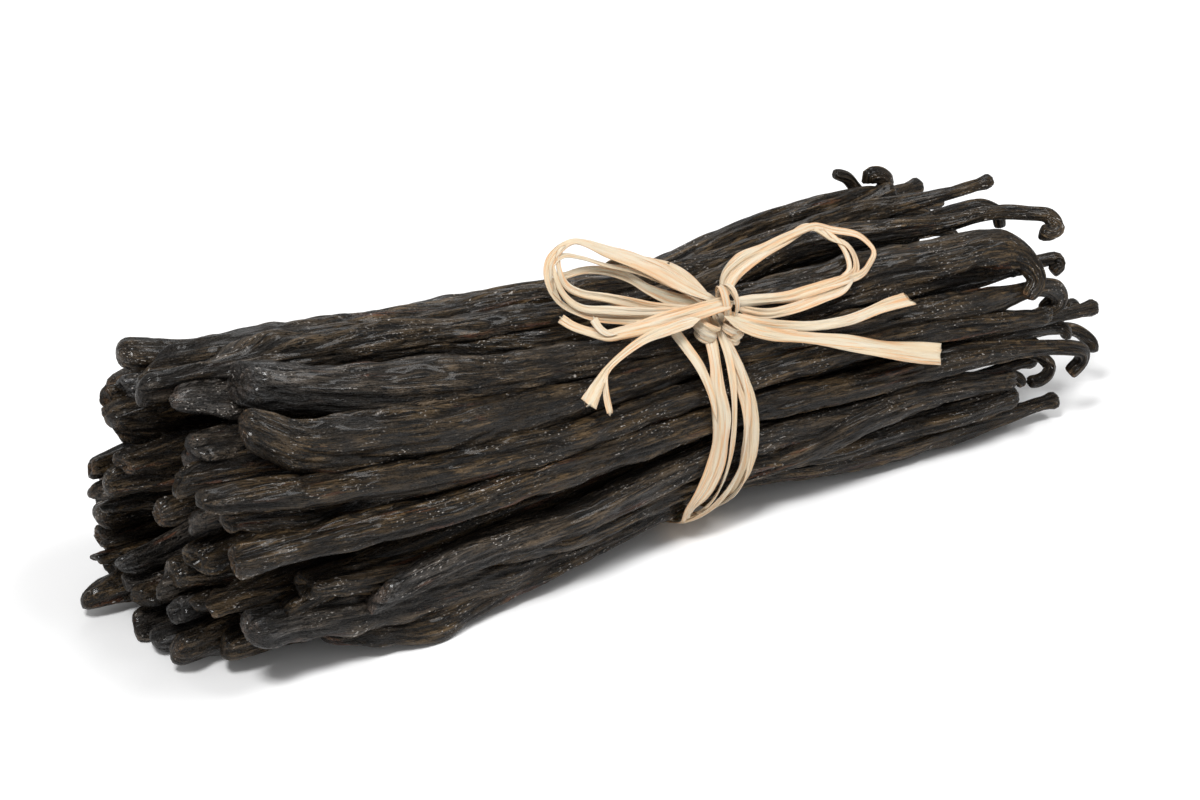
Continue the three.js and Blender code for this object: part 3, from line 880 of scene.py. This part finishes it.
    def course(self, pod: Pod, path: Path, s: Array, x: Array, rng: Random) -> Array:
        """The pod's centre line as it lies: it sways away from the waist and is crooked at the tip.

        Args:
            pod: The pod.
            path: Its smooth route.
            s: Distances along it, as a column.
            x: The same places along the bundle, as a list.
            rng: Source of its chance bends.

        Returns:
            A point for each distance, none nearer the floor than half a millimetre over REST_Z.
        """
        along = np.clip(s[:, 0], 0, path.length)
        centre, _, side, out = path.at(along)
        stray = self.sway * smoothstep(np.abs(x - WAIST_X), *self.strays)[:, None]
        centre = centre + stray * (self.sideways.read(rng, s) * side + self.outwards.read(rng, s) * out)
        bend = pod.crook * (1 - smoothstep(s, *self.crooked))
        veer = rng.uniform(0, TURN)
        centre = centre + bend * (math.cos(veer) * side + math.sin(veer) * out)
        centre[:, 2] = np.maximum(centre[:, 2], REST_Z + 0.5 + self.frame.shift[2])
        return centre

    def cut_faces(self, pod: Pod, s: Array, share: Array, length: float) -> Array:
        """How much each ring lies on the blossom scar, or on the cut end of the stalk."""
        blossom = np.where(share < 0.8, 1.0, 0.0) * (0.5 if pod.tip is Tip.PITTED else 0.25)
        stalk = np.where(share < 0.95, 1.0, 0.0) * (s > length / 2)
        return np.maximum(blossom * (s < length / 2), stalk)

    def add_pod(self, skin: Skin, pod: Pod, detail: Detail, rng: Random) -> None:
        """Adds one pod to a mesh.

        The radius at (s, turn) is half the thickness, times the outline of the ends and of the
        section, less the creases, plus two layers of ridged noise for the lengthwise wrinkles.

        Args:
            skin: The mesh that takes the pod.
            pod: The pod.
            detail: How finely it is made.
            rng: Source of its chance marks.
        """
        path = Path.through(self.knots(pod), np.array([0.0, 1.0, 0.0]))
        s, share = self.rings(pod, path, detail)
        along = np.clip(s, 0, path.length)
        x = path.read(path.points, along)[:, 0] - self.frame.shift[0]
        half = self.thickness(pod, x, along / path.length)[:, None] / 2
        s, share = s[:, None], share[:, None]
        turn = np.linspace(0, TURN, detail.around, endpoint=False)[None, :]

        heading = rng.uniform(0, TURN) + self.heading_drift.read(rng, s)
        heading = heading + math.radians(pod.twist) * smoothstep(s, *self.twisted)
        shape = self.section(pod, s, turn, heading, rng)
        drifting = turn + self.ridge_drift.read(rng, s, turn)
        creases = self.creases(pod, s, turn, heading, rng)
        ridges = np.abs(self.ridges.read(rng, s, drifting))
        fine = Waver(1.0, 5, max(16, detail.around // 2 - 4))
        furrows = np.abs(fine.read(rng, s, drifting))
        relief = self.wrinkle * (ridges - self.mean_ridge) + self.furrow * (furrows - self.mean_ridge)
        relief = relief * np.clip(half / FULL_HALF, 0.3, 1.2)
        lumpy = 0.12 * self.near_tip(s) + 0.4 * np.exp(-np.maximum(s, 0) / 9)
        relief = relief + lumpy * self.blossom_lumps.read(rng, s, turn)
        radius = share * (half * shape * (1 - creases) + relief)

        slant = pod.slant * np.cos(turn - heading + 0.7) * half
        slant = slant * (1 - smoothstep(s, *self.slanted)) * share
        centre = self.course(pod, path, s, x, rng)
        _, ahead, side, out = (rows[:, None] for rows in path.at(along))
        ring = (centre[:, None] + slant[..., None] * ahead
                + (radius * np.cos(turn))[..., None] * side + (radius * np.sin(turn))[..., None] * out)
        ring[..., 2] = np.maximum(ring[..., 2], REST_Z + self.frame.shift[2])

        place = s + rng.uniform(0, 400)
        spread = np.maximum(half, 1.0) * share
        flatmap = side_by_side(spread * np.cos(turn), spread * np.sin(turn), place)
        # How deep a place lies in a groove or crease; the pod finish paints shade there.
        groove = np.clip(1 - 1.6 * ridges - 0.5 * furrows + 4 * creases, 0, 1)
        near = np.exp(-np.maximum(s, 0) / 16)
        cut = self.cut_faces(pod, s, share, path.length)
        marks = side_by_side(groove, near, cut)
        tone = np.broadcast_to((rng.uniform(), *pod.tint.value), ring.shape)
        body, ends = slice(1, -1), [0, -1]
        skin.add_tube(ring[body], centre[ends], skin=(flatmap[body] * MM, flatmap[ends, 0] * MM),
                      marks=(marks[body], marks[ends, 0]), tone=(tone[body], tone[ends, 0]))

    def hidden(self, rows: tuple[Ends, ...], start: int) -> list[Pod]:
        """The outermost pods behind and below, with their looks dealt out in turn."""
        pods = []
        for i, ends in enumerate(rows, start):
            _, angle, sink = ends.blossom
            stations = (ends.blossom, (-50, (angle + ends.waist) / 2, sink), (WAIST_X, ends.waist, 0),
                        (50, ends.waist, 0), ends.stem)
            pods.append(Pod(stations, 6.6 + (i % 3) * 0.5, 4.8, ends.curl, TIPS[(3 * i + 1) % len(TIPS)],
                            TINTS[(2 * i) % len(TINTS)], flat=0.08 + 0.05 * (i % 4),
                            fold=0.3 * (i % 3 == 0), crook=1.0))
        return pods

    def inner(self, depth: int) -> list[Pod]:
        """The pods of one ring inside."""
        ring = INNER_ROWS[depth]
        pods = []
        for i, ends in enumerate(ring):
            middle = (WAIST_X, 360 / len(ring) * i + 10, RING_PITCH * (depth + 1))
            pods.append(Pod((ends.blossom, middle, ends.stem), 5.4 + (3 * i % 5) * 0.5, 4.2, ends.curl,
                            TIPS[(2 * i + depth) % len(TIPS)], TINTS[(3 * i + depth) % len(TINTS)],
                            flat=0.12 + 0.08 * (i % 4), fold=0.4 * (i % 3 == 1), twist=120 * (i % 3 == 2),
                            slim=48, slant=0.2 + 0.25 * (i % 4), taper=0.22 + 0.06 * (i % 3), crook=2.2))
        return pods

    def core(self, finish: Material) -> Piece:
        """The close-packed middle, a smooth dark tube well under the inner pods."""
        start, end, rows, sides, depth, narrowing = -66, 58, 40, 48, 9.0, 2.0
        x = np.linspace(start, end, rows)
        angle = np.linspace(0, 360, sides, endpoint=False)
        half, middle = (end - start) / 2, (start + end) / 2
        sink = depth + narrowing * smoothstep(np.abs(x - middle), half - 14, half)
        stations = side_by_side(x[:, None], -angle[None, :], sink[:, None])
        ring = self.frame.place(stations.reshape(-1, 3)).reshape(rows, sides, 3)
        poles = ring[[0, -1]].mean(axis=1)
        zeros, low = np.zeros_like(ring), np.zeros((2, 3))
        skin = Skin()
        skin.add_tube(ring, poles, skin=(ring * MM, poles * MM), marks=(zeros, low), tone=(zeros, low))
        return skin.build("pod_core", finish)

    def build(self, finish: Material) -> list[Piece]:
        """Makes every group of pods and has each stand for the solid bundle."""
        rng = np.random.default_rng(self.seed)
        groups = {
            "pods_top": (TOP_PODS, FINE),
            "pods_shoulder": (SHOULDER_PODS, FINE),
            "pods_front": (FRONT_PODS, FINE),
            "pods_lower": (LOWER_PODS, FINE),
            "pods_below": (self.hidden(BELOW_ROWS, 0), MEDIUM),
            "pods_behind": (self.hidden(BEHIND_ROWS, len(BELOW_ROWS)), MEDIUM),
            "pods_second_ring": (self.inner(0), COARSE),
            "pods_third_ring": (self.inner(1), DEEP),
            "pods_middle": (self.inner(2), DEEP),
        }
        made = [self.core(finish)]
        for name, (pods, detail) in groups.items():
            skin = Skin()
            for pod in pods:
                self.add_pod(skin, pod, detail, rng)
            made.append(skin.build(name, finish))
        for piece in made:
            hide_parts("pod_bundle")
            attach(piece, "root")
        return made


# ---- raffia ----
OUTWARD = (0.0, -0.75, 0.66)


@dataclass(frozen=True)
class Strand:
    """A flat strip of raffia: its route, its widths from end to end, pleats and how its wide side turns."""

    route: tuple[Triple, ...]
    widths: tuple[float, ...]
    facing: tuple[Triple, ...] = (OUTWARD,)
    pleats: float = 2.0
    fold: float = 0.10
    ragged: float = 0.0
    cast: float = 0.0


def waist_strand(points: tuple, widths: tuple, **looks: object) -> Strand:
    """A strand given by stations (x, angle, lift above the outer pods' centre lines)."""
    return Strand(points, widths, facing=(), **looks)


STRANDS: dict[str, tuple[Strand, ...]] = {
    "bow_loop_left": (
        Strand((
            (14, -13.5, 42.4), (9.6, -11.8, 45.2), (5, -9, 48.8), (1, -7, 51.2), (-4.3, -5.5, 53.8),
            (-8, -5, 56), (-10.5, -5, 57), (-13.3, -5.5, 56.6), (-16, -6.5, 55), (-17, -8, 52.2),
            (-15.8, -9.5, 48.8), (-11.5, -10.5, 46), (-5, -11.5, 44.2), (1, -12.5, 42.8), (9, -14, 42.4)),
            (1.8, 2.6, 3.5, 3.6, 3.3, 2.0, 1.4, 1.6, 1.5, 1.6, 2.2, 2.6, 3.0, 2.6, 1.6), pleats=3),
        Strand((
            (10.5, -12, 42.6), (5.6, -9.5, 44), (2.6, -8, 45.7), (0, -6.5, 47.8), (-3, -5.5, 49.5),
            (-6, -5, 50.5), (-9, -5, 51.1), (-12, -5.6, 51.4), (-14.6, -6.6, 52), (-16.2, -8.2, 51.2),
            (-15.4, -9.6, 48.9)),
            (1.8, 2.2, 2.2, 1.8, 1.4, 1.2, 1.0), cast=0.9),
        Strand((
            (13.2, -13.4, 42.5), (6.4, -9.8, 46.2), (1.3, -7.5, 49), (-4.6, -6.2, 51.4), (-9.4, -5.8, 54),
            (-13.6, -6.4, 55.6), (-15.8, -6.9, 54.6), (-16.6, -8, 52.4)),
            (1.0, 1.7, 1.5, 1.1, 0.9)),
        Strand((
            (10.2, -13, 42.1), (4.8, -12, 43), (-0.6, -11, 44.8), (-6.8, -10, 47.6), (-11.2, -9, 49.2),
            (-13.7, -8.4, 51.1), (-14.5, -7.6, 53.5), (-13.9, -6.2, 56), (-11.4, -5.2, 56.9)),
            (1.2, 2.2, 2.3, 1.6, 1.3, 1.2, 1.2)),
        Strand((
            (-15.4, -6.9, 55), (-15.9, -8.4, 53.4), (-15, -9.6, 50.2), (-12.4, -10.6, 47.6),
            (-7.5, -11.6, 46.2), (-1.5, -12.6, 44.6), (4, -13.4, 43.6), (9, -14.2, 43)),
            (0.8, 1.1, 1.3, 1.8, 1.4, 1.0)),
    ),
    "bow_loop_right": (
        Strand((
            (13.9, -13.7, 42.8), (16.3, -10.5, 45), (21, -8.6, 46.4), (28, -7.2, 47), (35.3, -5.7, 47.2),
            (39.1, -5, 46.8), (41.6, -6.4, 46), (45.3, -8.4, 45), (46.4, -10, 44), (46.6, -12, 42.8),
            (44.5, -13.5, 41.6), (42.2, -14.6, 40.9), (37.6, -14.9, 40.8), (31.4, -14.8, 40.8),
            (27, -14.8, 40.7), (21.3, -14.4, 41.4), (15, -14.6, 42.7)),
            (1.6, 2.8, 2.9, 2.0, 1.6, 1.3, 1.2, 1.2, 1.1, 1.4, 1.7, 2.2, 2.4, 2.0, 2.2, 1.6), pleats=2),
        Strand((
            (14.4, -13.4, 42.9), (18.6, -10.4, 45.1), (25, -8, 46.2), (31.7, -6.6, 46.7),
            (38.2, -4.8, 46.8), (40.4, -7.5, 45.2), (42.5, -9.5, 44.1), (42.4, -12.3, 42.4),
            (41, -14.2, 41.3), (37.5, -15, 40.9), (32.5, -15, 40.7)),
            (1.4, 2.2, 2.2, 1.6, 1.8, 2.0, 1.6, 1.2), pleats=2),
        Strand((
            (40.2, -5.6, 46.4), (41.4, -8.6, 44.8), (41.4, -11.4, 43.2), (40.2, -13.8, 41.8),
            (36.6, -15, 41.1)),
            (0.8, 1.0, 0.9), pleats=1),
        Strand((
            (41.5, -14, 41.3), (37.3, -15.9, 39.6), (32.7, -16, 39.3), (27.4, -16.1, 39),
            (21.2, -16.1, 39.6), (15.3, -15.6, 42)),
            (1.0, 1.8, 2.0, 1.8, 1.8, 1.2), pleats=2),
    ),
    "tail_left_upper": (
        Strand((
            (14.8, -15.8, 43.4), (11, -16.6, 44.1), (5, -16.2, 43.9), (-2, -15.9, 43.7),
            (-7.2, -15.7, 43.9), (-10.2, -15.6, 44.1), (-13.2, -14.8, 45.2), (-15.8, -13.4, 46.4),
            (-17.2, -11.9, 47.5)),
            (2.4, 2.8, 3.2, 2.8, 2.2, 1.7, 1.6), ragged=0.5, pleats=2.5),
        Strand((
            (-8.6, -16.1, 44), (-10.3, -15.8, 44.5), (-11.6, -15.3, 45.6), (-12.2, -14.1, 47.2)),
            (0.9, 1.3, 1.6), pleats=1, ragged=0.4),
    ),
    "tail_left_lower": (
        Strand((
            (7, -17.5, 43.2), (1, -17.3, 42.9), (-4.2, -17.6, 42.5), (-8.7, -18.6, 41.7),
            (-12.9, -20, 40.6), (-14.9, -21.1, 39.7), (-17.6, -22.7, 38.1), (-19, -23.6, 37.2)),
            (1.6, 2.2, 2.2, 1.6, 1.2, 1.2, 1.9, 2.8), ragged=0.7, cast=0.3),
        Strand((
            (-13.2, -20.6, 40.6), (-14.4, -21.5, 39.4), (-14.8, -22.4, 37.4), (-15, -24, 34.4)),
            (0.7, 1.1, 1.5), ragged=0.5, pleats=1),
    ),
    "tail_right_upper": (
        Strand((
            (12, -16.4, 42.5), (17.2, -17.4, 39.8), (22.8, -18.4, 37.9), (27.7, -19.2, 36.7),
            (35.3, -19.8, 36), (42.7, -19.8, 36.3), (49, -19.9, 36.2)),
            (1.6, 2.0, 1.8, 1.7, 2.0, 2.4, 3.0), ragged=0.6, cast=0.5, pleats=1.5, fold=0.14),
        Strand((
            (14, -16.2, 41.6), (18, -17, 39.2), (22.5, -18.6, 37.3), (26.5, -20.2, 36)),
            (1.0, 1.6, 1.3, 0.8), pleats=1),
    ),
    "tail_right_lower": (
        Strand((
            (11.8, -17.4, 42.3), (15.9, -18.2, 39.3), (21.2, -19.6, 37), (26.8, -20.6, 35.4),
            (33.2, -21.9, 33.4), (40.7, -23.2, 30.8), (46.9, -24, 28.6), (52.6, -24.6, 26.7)),
            (1.8, 2.2, 2.0, 2.2, 3.0, 3.8, 4.0, 4.2), ragged=0.5, cast=0.3, pleats=1.0, fold=0.04),
    ),
    "tie_band": (
        waist_strand((
            (10, 62, 4), (10, 50, 3.9), (9, 34, 3.6), (8, 21, 3.5), (8, 9, 3.5), (7, -6, 3.5),
            (5, -18, 3.5), (3, -29, 3.5), (4, -45, 3.4), (6, -70, 3.3), (8, -90, 3.2), (9, -120, 3.3),
            (10, -160, 3.4), (10, -200, 3.4), (10, -240, 3.6), (11, -285, 3.7), (12.6, -303, 3.9)),
            (2.4, 2.6, 3.0, 3.0, 2.8, 2.4, 2.0, 2.2, 2.6, 2.8, 2.8, 2.8, 2.8, 2.6, 2.4), pleats=3),
        waist_strand((
            (3, 56, 4.4), (3.4, 50, 4), (4.3, 44, 3.7), (5.6, 34, 3.6), (6.4, 22, 3.6), (7, 8, 3.4)),
            (1.7, 1.9, 1.7, 1.3, 0.7), pleats=1),
        waist_strand((
            (13, 58, 4), (12.4, 40, 3.8), (12.6, 29, 3.6), (13.6, 11, 3.6), (13.8, -3, 3.6),
            (13.6, -16, 3.6), (12.4, -38, 3.5), (12, -60, 3.4), (12, -90, 3.3), (13, -130, 3.3),
            (13, -180, 3.4), (13, -230, 3.5), (13, -280, 3.7), (13.4, -302, 3.9)),
            (1.6, 2.2, 3.0, 3.0, 2.6, 2.4, 2.4, 2.6, 2.6, 2.6, 2.4, 2.0), pleats=3),
        waist_strand((
            (12, 54, 4.2), (11.8, 37, 4), (11, 20, 3.9), (10.2, 0, 3.8), (9.2, -10, 3.9), (8, -24, 3.8),
            (7, -45, 3.6), (8, -70, 3.6), (9.5, -100, 3.6)),
            (1.0, 1.5, 1.4, 1.2, 1.5, 1.8, 1.6, 1.2), pleats=2),
        waist_strand((
            (12.6, 50, 4), (13.2, 34, 3.9), (14.4, 14, 3.7), (14.9, -2, 3.7), (14.4, -18, 3.8),
            (12, -34, 3.8), (8.8, -44, 3.8), (5, -56, 3.7), (4, -80, 3.5)),
            (0.9, 1.6, 1.9, 1.8, 1.7, 1.5, 1.4, 1.0), pleats=2),
        waist_strand((
            (12.6, 46, 4.3), (13.6, 26, 4.1), (13.4, 6, 4.1), (11.6, -14, 4.1), (8.4, -34, 4.0),
            (4.4, -50, 3.9), (3, -72, 3.7)),
            (0.7, 1.0, 1.1, 1.2, 1.2, 0.9), pleats=1),
    ),
}


@dataclass(frozen=True)
class KnotTurn:
    """One turn of the knot: a ring of raffia round a tilted axis."""

    centre: Triple
    axis: Triple
    tall: float
    deep: float
    width: float

    def strand(self) -> Strand:
        """The turn as a flat spiral of a little over one and a half turns, which tucks itself in."""
        axis = unit(np.array(self.axis))
        first = unit(np.cross(axis, (0.0, 1.0, 0.0)))
        second = np.cross(axis, first)
        begin, finish, points, tuck, narrow = -0.3, 1.25, 16, 0.10, 0.6
        turn = np.linspace(begin, finish, points) * TURN
        shrink = 1 - tuck * np.linspace(0, 1, points)
        route = (np.array(self.centre) + np.outer(np.cos(turn) * self.tall * shrink, first)
                 + np.outer(np.sin(turn) * self.deep * shrink, second))
        facing = route - np.array(self.centre)
        end = narrow * self.width
        return Strand(tuple(map(tuple, route)), (end, self.width, self.width, end),
                      tuple(map(tuple, facing)))


KNOT_TURNS = (
    KnotTurn((14.6, -14.4, 43.0), (1.0, 0.1, -0.05), 3.0, 2.5, 1.7),
    KnotTurn((13.4, -14.6, 43.0), (0.95, -0.25, 0.1), 3.3, 2.5, 1.4),
    KnotTurn((9.6, -15.4, 40.0), (0.6, -0.2, 0.9), 2.3, 2.0, 2.6),
    KnotTurn((9.2, -15.6, 38.6), (0.4, -0.3, 1.0), 1.9, 1.7, 1.8),
    KnotTurn((13.8, -16.4, 38.9), (0.5, -0.1, 1.0), 1.5, 1.4, 1.7),
    KnotTurn((14.8, -16.4, 37.9), (-0.6, 0.1, 0.9), 1.4, 1.3, 1.4),
    KnotTurn((14.4, -16.6, 36.9), (0.2, -0.3, 1.0), 1.1, 1.1, 1.2),
)


@dataclass
class RaffiaTie:
    """The raffia: a band of strands round the waist, a knot, two loops and four tails."""

    frame: BundleFrame
    seed: int = 7
    thick: float = 0.20
    step: float = 0.6             # millimetres from one row to the next
    across: int = 11              # points across each side
    tuck: tuple[float, float] = (-0.6, 2.4)     # where an end widens from nothing to its full width
    least_pleat: float = 0.7
    curl: float = 0.14            # how far the edges rise, as a share of the width
    thin_edge: float = 0.55       # share of the thickness lost at the edges
    width_drift: Waver = Waver(0.10, 5)
    pleat_drift: Waver = Waver(0.2, 9)
    pleat_spread: Waver = Waver(0.35, 16)
    pleat_depth: Waver = Waver(0.5, 6)
    curling: Waver = Waver(1.0, 12)
    leaning: Waver = Waver(0.75, 11)
    tearing: Waver = Waver(1.0, 1, 7)

    def course(self, strand: Strand) -> Path:
        """The strand's route in the row frame, with its side turned the way that the strand faces."""
        points = np.asarray(strand.route, float)
        if strand.facing:
            knots = points + self.frame.shift
            facing = np.asarray(strand.facing, float)
            facing = np.repeat(facing, 2, axis=0) if len(facing) == 1 else facing
            return Path.through(knots, facing)
        lifted = points * (1, 1, -1)
        knots = self.frame.place(lifted)
        outward = 4.0
        lifted[:, 2] -= outward
        return Path.through(knots, self.frame.place(lifted) - knots)

    def widths(self, strand: Strand, s: Array, length: float, rng: Random) -> Array:
        """The strand's widths at the distances s, narrow at the start and, unless ragged, the end."""
        spread = np.asarray(strand.widths, float)
        width = np.interp(s[:, 0] / length, np.linspace(0, 1, len(spread)), spread)[:, None]
        width = width * (1 + self.width_drift.read(rng, s))
        tuck = smoothstep(s, *self.tuck)
        if not strand.ragged:
            tuck = tuck * smoothstep(length - s, *self.tuck)
        return width * tuck

    def add_strand(self, skin: Skin, strand: Strand, rng: Random) -> None:
        """Adds one strand to a mesh.

        A place on it is route(v) + across(v) u width(v) + face(v) pleat(u, v), with u from -1/2 to
        1/2, where pleat is a zigzag of u that drifts along v. The upper and lower sides lie half a
        thickness to either side and meet at the edges.

        Args:
            skin: The mesh that takes the strand.
            strand: The strand.
            rng: Source of its chance bends.
        """
        path = self.course(strand)
        s = np.linspace(0, path.length, max(12, int(path.length / self.step)))[:, None]
        width = self.widths(strand, s, path.length, rng)
        half = np.linspace(-0.5, 0.5, self.across)
        u = np.concatenate([half, half[::-1]])[None, :]
        upper = np.where(np.arange(2 * self.across) < self.across, 1.0, -1.0)[None, :]

        drift = rng.uniform(0, 1) + self.pleat_drift.read(rng, s)
        wave = 1 - 4 * np.abs((strand.pleats * u * (1 + self.pleat_spread.read(rng, s)) + drift) % 1 - 0.5)
        pleat = strand.fold * width * wave * (self.least_pleat + self.pleat_depth.read(rng, s))
        pleat = pleat + self.curl * width * (2 * u) ** 2 * self.curling.read(rng, s)
        height = pleat + upper * self.thick / 2 * (1 - self.thin_edge * np.abs(2 * u) ** 6)
        reach = u * width
        lean = self.leaning.read(rng, s)
        centre, ahead, face, across = (rows[:, None] for rows in path.at(s[:, 0]))
        ring = (centre + (reach * np.cos(lean) - height * np.sin(lean))[..., None] * across
                + (reach * np.sin(lean) + height * np.cos(lean))[..., None] * face)
        tear = strand.ragged * self.tearing.read(rng, np.zeros((1, 1)), (u + 0.5) * TURN * 0.9)
        ring = ring + (tear * smoothstep(s, path.length - 2, path.length))[..., None] * ahead

        tag = rng.uniform(0, 200)
        fibre = side_by_side(reach + upper * 3, s + tag, tag)
        crease = smoothstep(-wave, 0.0, 0.95)
        edge = np.abs(2 * u) ** 4
        marks = side_by_side(crease, edge, strand.cast)
        ends = [0, -1]
        skin.add_tube(ring, ring[ends].mean(axis=1), fibre=(fibre * MM, fibre[ends, 0] * MM),
                      marks=(marks, marks[ends, 0]))

    def build(self, finish: Material) -> list[Piece]:
        """Makes the strands of each raffia node and has them stand for it."""
        rng = np.random.default_rng(self.seed)
        made = []
        knot = tuple(turn.strand() for turn in KNOT_TURNS)
        for node, strands in {**STRANDS, "tie_knot": knot}.items():
            skin = Skin()
            for strand in strands:
                self.add_strand(skin, strand, rng)
            piece = skin.build(f"raffia_{node}", finish)
            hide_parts(node)
            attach(piece, "root")
            made.append(piece)
        return made


# ---- studio ----
@dataclass(frozen=True)
class SoftLight:
    """A square light: where it stands round the bundle, in degrees and metres, its side and its watts."""

    name: str
    azimuth: float
    elevation: float
    distance: float
    size: float
    power: float


LIGHTS = (
    SoftLight("key", -50, 56, 1.1, 0.22, 7.0),
    SoftLight("top", 40, 62, 1.1, 0.4, 5.0),
    SoftLight("rim", 150, 40, 1.1, 0.4, 2.0),
)


@dataclass
class Studio:
    """Pale floor, soft light and the camera."""

    frame: BundleFrame
    azimuth: float = -32.0
    elevation: float = 29.0
    distance: float = 680.0
    lens: float = 118.0
    target: Triple = (-2.0, 0.0, 22.0)
    floor_size: float = 6.0
    surround: float = 0.42

    def direction(self, azimuth: float, elevation: float) -> Vector:
        """The unit vector towards a viewer at that azimuth and elevation."""
        a, e = math.radians(azimuth), math.radians(elevation)
        return Vector((math.sin(a) * math.cos(e), -math.cos(a) * math.cos(e), math.sin(e)))

    def build_floor(self) -> Piece:
        """A wide flat sheet under the bundle."""
        half = self.floor_size / 2
        corners = [(-half, -half, 0), (half, -half, 0), (half, half, 0), (-half, half, 0)]
        mesh = bpy.data.meshes.new("floor")
        mesh.from_pydata(corners, [], [(0, 1, 2, 3)])
        mesh.materials.append(FloorFinish().material())
        floor = add_object("floor", mesh)
        return floor

    def add_light(self, light: SoftLight) -> None:
        """A soft light that looks at the bundle."""
        lamp = bpy.data.lights.new(light.name, "AREA")
        lamp.size, lamp.energy = light.size, light.power
        holder = add_object(light.name, lamp)
        back = self.direction(light.azimuth, light.elevation)
        holder.location = back * light.distance
        holder.rotation_euler = (-back).to_track_quat("-Z", "Y").to_euler()

    def build_lights(self) -> None:
        """A white surround with one firmer light above and a weaker one in front."""
        world = bpy.data.worlds.new("surround")
        bpy.context.scene.world = world
        world.use_nodes = True
        background = world.node_tree.nodes["Background"].inputs
        background["Color"].default_value = shade(1.0, 1.0, 1.0)
        background["Strength"].default_value = self.surround
        for light in LIGHTS:
            self.add_light(light)
        bpy.context.scene.view_settings.view_transform = "Standard"

    def build_camera(self) -> None:
        """The camera, aimed at the target from the studio's angle."""
        data = bpy.data.cameras.new("camera")
        data.lens, data.sensor_width = self.lens, 36.0
        data.clip_start, data.clip_end = 0.05, 20.0
        camera = add_object("camera", data)
        back = self.direction(self.azimuth, self.elevation)
        target = Vector(np.array(self.target) + self.frame.shift)
        camera.location = (target + back * self.distance) * MM
        camera.rotation_euler = (-back).to_track_quat("-Z", "Y").to_euler()
        bpy.context.scene.camera = camera


def main() -> None:
    """Builds the bundle, its tie and the studio, and reports each piece."""
    logging.basicConfig(level=logging.INFO, format="%(name)s: %(message)s")
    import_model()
    frame = BundleFrame.from_band()
    pieces = PodBundle(frame).build(PodFinish().material())
    pieces += RaffiaTie(frame).build(RaffiaFinish().material())
    for piece in pieces:
        triangles = sum(len(face.vertices) - 2 for face in piece.data.polygons)
        log.info("%s: %d triangles", piece.name, triangles)
    studio = Studio(frame)
    studio.build_floor()
    studio.build_lights()
    studio.build_camera()


if __name__ == "__main__":
    main()
